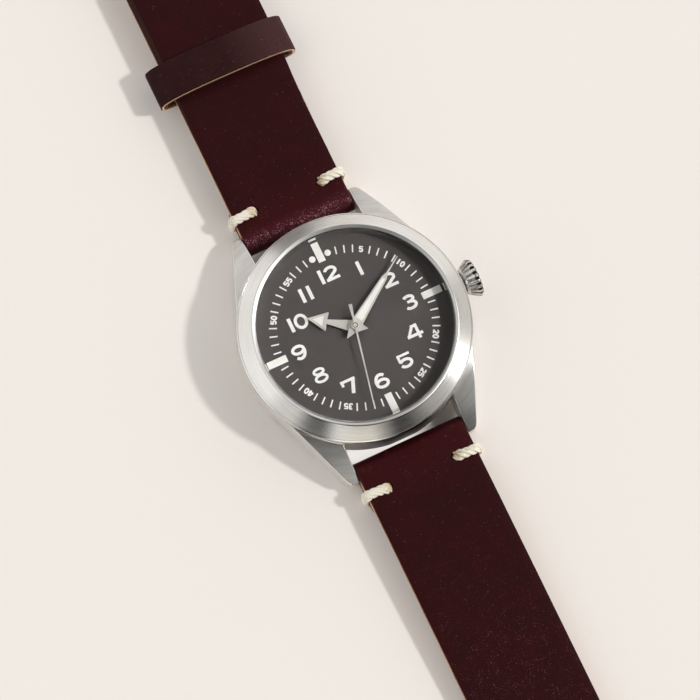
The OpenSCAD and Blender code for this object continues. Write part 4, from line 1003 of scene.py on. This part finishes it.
def strand(verts, faces, path, press, radius, twist_r, turns, phase, sides=10):
    """One ply that winds round a path; press flattens it upright, point by point."""
    count = len(path)
    lengths = [0]
    for k in range(1, count):
        lengths.append(lengths[-1] + (path[k] - path[k - 1]).length)
    first = len(verts)
    for k in range(count):
        ahead = (path[min(k + 1, count - 1)] - path[max(k - 1, 0)]).normalized()
        u = ahead.cross(Vector((0, 1, 0))).normalized()
        v = ahead.cross(u).normalized()
        share = lengths[k] / lengths[-1]
        a = phase + 2 * math.pi * (turns * share + 0.11 * math.sin(13 * share + phase))
        middle = (u * math.cos(a) * twist_r * 0.5
                  + v * math.sin(a) * twist_r * (1 + 0.12 * math.sin(17 * share)))
        fibre = radius * (1 + 0.1 * math.sin(23 * share + 2 * phase))
        for j in range(sides):
            b = 2 * math.pi * j / sides
            off = middle + (u * math.cos(b) * 0.85 + v * math.sin(b)) * fibre
            verts.append(tuple((path[k] + Vector((off.x, off.y, off.z * press[k]))) * MM))
    for k in range(count - 1):
        for j in range(sides):
            a, b = first + k * sides + j, first + k * sides + (j + 1) % sides
            faces.append((a, a + sides, b + sides, b))
    faces.append(tuple(first + j for j in range(sides)))
    faces.append(tuple(first + (count - 1) * sides + j for j in reversed(range(sides))))


def smooth_path(points, steps):
    """Points on a curve through the given ones."""
    out = []
    for k in range(len(points) - 1):
        p0, p1 = points[max(k - 1, 0)], points[k]
        p2, p3 = points[k + 1], points[min(k + 2, len(points) - 1)]
        for j in range(steps):
            t = j / steps
            out.append(0.5 * ((2 * p1) + (p2 - p0) * t + (2 * p0 - 5 * p1 + 4 * p2 - p3) * t * t
                              + (3 * p1 - p0 - 3 * p2 + p3) * t ** 3))
    out.append(points[-1])
    return out


def lug_stitches(name, sign, flat, settle, body, node):
    verts, faces = [], []
    y = sign * (BAR_Y + STITCH_AT)
    top = leather_top(STITCH_AT, flat, settle)
    under = BAR_Z - LOOP_R
    edge = STRAP_W / 2
    low = max(0.36, under - 0.25)
    for side in (1, -1):
        tilt = 0.10 * sign * side
        route = [(STITCH_X, 0, top - 1.5), (6.15, 0, top - 0.5), (6.5, 0, top + 0.14),
                 (7.4, tilt, top + 0.42), (8.8, tilt * 2, top + 0.42), (9.9, tilt * 2, top + 0.22),
                 (edge + 0.45, tilt * 2, top - 0.42), (edge + 0.48, tilt * 2, (top + under) / 2),
                 (edge + 0.36, tilt, under + 0.35), (edge - 0.2, 0, low), (8.4, 0, low), (6.8, 0, low),
                 (STITCH_X, 0, under + 0.3)]
        path = smooth_path([Vector((side * x, y + dy, z)) for x, dy, z in route], 8)
        # The thread lies flatter under the strap, and comes to that over seven points
        flatter = [1 if (p.z > under + 0.6) else 0.42 for p in path]
        windows = [flatter[max(0, k - 3):k + 4] for k in range(len(flatter))]
        press = [sum(window) / len(window) for window in windows]
        strand(verts, faces, path, press, radius=0.42, twist_r=0.05, turns=1.0, phase=0.0)
        for ply in range(6):
            strand(verts, faces, path, press, radius=0.28, twist_r=0.64, turns=2.1,
                   phase=2 * math.pi * ply / 6 + side + sign, sides=8)
    piece = new_piece(name, verts, faces, [THREAD])
    tidy_shell(piece)
    finish_piece(piece, body, "waxed_thread", node, angle=60)


lug_stitches("thread_short_piece", 1, SHORT_FLAT, SHORT_SETTLE, "strap_short", "stitches_buckle_side")
lug_stitches("thread_long_piece", -1, LONG_FLAT, LONG_SETTLE, "strap_long", "stitches_hole_side")


# Keepers

def keeper_loop(width, height, foot, arch, steps=96):
    """Outer outline of a leather loop, seen along the strap: flat below, arched above."""
    half, outer = width / 2, []
    for k in range(steps):
        a = 2 * math.pi * k / steps
        c, s = math.cos(a), math.sin(a)
        x = half * math.copysign(abs(c) ** 0.52, c)
        mid = foot + height * 0.46
        if s >= 0:
            z = mid + (foot + height - mid) * abs(s) ** 0.62
            z -= arch * min(1, abs(x / half)) ** 2 * (1 if abs(s) > 0.25 else abs(s) / 0.25)
        else:
            z = mid - (mid - foot) * abs(s) ** 0.42
        outer.append((x, z))
    return outer


def leather_keeper(name, y, length, width, height, arch, body, node):
    thickness = KEEPER_T
    outer = keeper_loop(width, height, KEEPER_FOOT, arch)
    normals = outline_normals(outer)
    count = len(outer)
    r = 0.16
    # Cross-section of the band: (along the strap, depth from the outer face)
    section = [(-length / 2, thickness - r), (-length / 2, 0.55), (-length / 2, r)]
    section += [(-length / 2 + r * (1 - math.cos(a)), r * (1 - math.sin(a))) for a in (0.5, 1.0, 1.57)]
    section += [(-length / 2 + length * k / 6, 0) for k in range(1, 6)]
    section += [(-p, d) for p, d in reversed(section[1:6])]
    section += [(length / 2, thickness - r), (length / 2 - r, thickness), (0, thickness),
                (-length / 2 + r, thickness)]
    verts, faces = [], []
    for (x, z), (nx, nz) in zip(outer, normals):
        for along, depth in section:
            verts.append(((x - nx * depth) * MM, (y + along) * MM, (z - nz * depth) * MM))
    m = len(section)
    for k in range(count):
        for j in range(m):
            a, b = k * m + j, k * m + (j + 1) % m
            c, d = ((k + 1) % count) * m + (j + 1) % m, ((k + 1) % count) * m + j
            faces.append((a, b, c, d))
    piece = new_piece(name, verts, faces, (KEEPER_LEATHER, RAW, FLESH, RAW_DARK))
    tidy_shell(piece)
    ends = [(Vector((x, 0, z)), Vector((nx, 0, nz))) for (x, z), (nx, nz) in zip(outer, normals)]
    for face in piece.data.polygons:
        along = abs(face.center.y / MM - y)
        if abs(face.normal.y) > 0.97 and along > length / 2 - 0.06:
            flat = Vector((face.center.x, 0, face.center.z)) / MM
            near, facing = min(ends, key=lambda end: (end[0] - flat).length)
            face.material_index = 1 if (near - flat).dot(facing) < 0.5 else 3
        elif along < length / 2 - 0.05:
            outside = face.normal.dot(Vector((
                face.center.x, 0, face.center.z - (KEEPER_FOOT + height / 2) * MM))) > 0
            face.material_index = 0 if outside else 2
    finish_piece(piece, body, "strap_leather", node, angle=38)


leather_keeper("keeper_loose", KEEPER_Y, KEEPER_LEN, KEEPER_W, KEEPER_H, 0.55, "free_keeper", "free_keeper")
leather_keeper("keeper_fixed", FIXED_KEEPER_Y, KEEPER_LEN - 0.7, KEEPER_W - 0.6, KEEPER_H - 0.4, 0.3,
               "strap_short", "fixed_keeper")


# Buckle

rounded_copy("buckle_frame", "buckle", "polished_steel", "buckle_frame_satin", [SATIN], 0.28,
             angle=25, segments=3)
rounded_copy("buckle_tongue", "tongue", "polished_steel", "buckle_tongue_satin", [SATIN], 0.22,
             angle=25, segments=3)
set_materials("buckle_pin", SATIN)

# Pieces held inside

for material, nodes in (
        (PLASTIC, "movement_ring"), (RUBBER, "case_back_gasket crown_gasket"),
        (PLATE, "main_plate train_bridge"), (CELL, "battery"), (COPPER, "coil_block"),
        (CIRCUIT, "circuit_board"),
        (SATIN, "crown_tube spring_bar_12 spring_bar_6 bar_tip_12_left bar_tip_12_right bar_tip_6_left "
                "bar_tip_6_right bridge_screws battery_clip stator yoke rotor sliding_pinion stem "
                "setting_lever"),
        (BRASS, "dial_washer fifth_wheel fourth_wheel third_wheel centre_wheel cannon_pinion minute_wheel "
                "hour_wheel setting_wheel")):
    for node in nodes.split():
        set_materials(node, material)


# Table, light and surroundings

deselect()
bpy.ops.mesh.primitive_plane_add(size=6, location=(0, 0, 0))
table = bpy.context.object
table.name = "table"
table_material, net, shader, position = new_material("table_paper", Roughness=0.9)
paper = net.noise(position, 900.0, 4.0)
net.put(shader.inputs["Base Color"], net.blend(paper, (0.94, 0.891, 0.849), (0.955, 0.905, 0.864)))
shader.inputs["Specular IOR Level"].default_value = 0.1
table.data.materials.append(table_material)
path = net.add("LightPath").outputs
seen = net.plus(net.plus(path["Is Camera Ray"], path["Is Glossy Ray"]), path["Is Transmission Ray"],
                clamp=True)
plain_tone = net.add("Emission", {"Color": (0.90, 0.85, 0.805, 1), "Strength": 1.0})
# Painted shade and light on the table: the even tone is left out of the gaps between the case and the straps,
# and a painted pool of light lies in the one at six, brightest left of the middle
x, y = net.split(position)[:2]
painted_gap_mask = net.times(net.span(net.vector("LENGTH", position), 0.0212, 0.0222, 1.0, 0.0),
                net.span(net.math("ABSOLUTE", y), 0.0160, 0.0172))
painted_light_pool = net.times(net.times(painted_gap_mask, net.math("LESS_THAN", y, 0.0)), net.span(x, 0.001, 0.006, 0.87, 0.0))
share = net.plus(painted_light_pool, net.span(painted_gap_mask, 0.0, 1.0, 0.15, 0.0))
net.show_mixed(net.times(seen, share), shader, plain_tone)


def toward(azimuth, elevation=0):
    a, e = math.radians(azimuth), math.radians(elevation)
    return (math.cos(a) * math.cos(e), math.sin(a) * math.cos(e), math.sin(e))


def sun(name, azimuth, elevation, strength, spread, colour):
    data = bpy.data.lights.new(name, "SUN")
    data.energy = strength
    data.angle = math.radians(spread)
    data.color = colour
    piece = bpy.data.objects.new(name, data)
    scene.collection.objects.link(piece)
    away = Vector(toward(azimuth, elevation))
    piece.location = away * 0.9
    piece.rotation_euler = away.to_track_quat("Z", "Y").to_euler()


sun("window_light", -25, 45, 1.52, 5, (1.0, 0.985, 0.965))

# The surroundings, as the steel mirrors them
world = bpy.data.worlds.new("studio")
scene.world = world
world.use_nodes = True
world_net = Net(world.node_tree)
background = world.node_tree.nodes["Background"]
direction = world_net.add("TexCoord").outputs["Generated"]
height = world_net.split(direction)[2]
# Pale walls all round, and a dark ceiling behind the camera
walls = world_net.ramp(height, [
    (0.0, (0.98, 0.965, 0.935)), (0.45, (1.11, 1.10, 1.08)), (0.86, (1.11, 1.11, 1.10)),
    (0.93, (0.06, 0.06, 0.06)), (1.0, (0.035, 0.035, 0.035))])
level = world_net.vector("NORMALIZE", world_net.vector("MULTIPLY", direction, (1, 1, 0)))


def within(way, centre, outer, inner):
    """1 where the way is less than the inner angle from the centre, 0 past the outer one."""
    facing = world_net.vector("DOT_PRODUCT", way, centre)
    return world_net.span(facing, math.cos(math.radians(outer)), math.cos(math.radians(inner)))


# Darker or warmer stretches of the walls: azimuth, half width and the share of light left
for azimuth, half_width, left in ((-76, 17, (0.005, 0.005, 0.005)), (-140, 10, (0.05, 0.05, 0.05)),
                                  (-161, 9, (0.66, 0.66, 0.65)), (68, 8, (0.80, 0.78, 0.76)),
                                  (89, 9, (0.29, 0.28, 0.27)), (-49, 11, (0.34, 0.34, 0.34)),
                                  (-106, 13, (1.16, 1.12, 1.02)), (-2, 15, (0.58, 0.57, 0.55)),
                                  (122, 26, (0.88, 0.88, 0.87))):
    inside = within(level, toward(azimuth), half_width * 1.5, half_width * 0.5)
    walls = world_net.blend(1.0, walls, world_net.blend(inside, (1, 1, 1), left), "MULTIPLY")
# A dark screen high up on the seven o'clock side, and a light one towards five
for azimuth, elevation, outer, inner, shade in ((-104, 48, 20, 10, (0.06, 0.06, 0.06)),
                                                (-58, 47, 12, 5, (1.0, 0.99, 0.97))):
    walls = world_net.blend(within(direction, toward(azimuth, elevation), outer, inner), walls, shade)
path = world_net.add("LightPath")
shown = world_net.blend(path.outputs["Is Camera Ray"], walls, (0.90, 0.85, 0.81))
world_net.put(background.inputs["Color"], shown)
background.inputs["Strength"].default_value = 1.0

scene.view_settings.view_transform = "Standard"
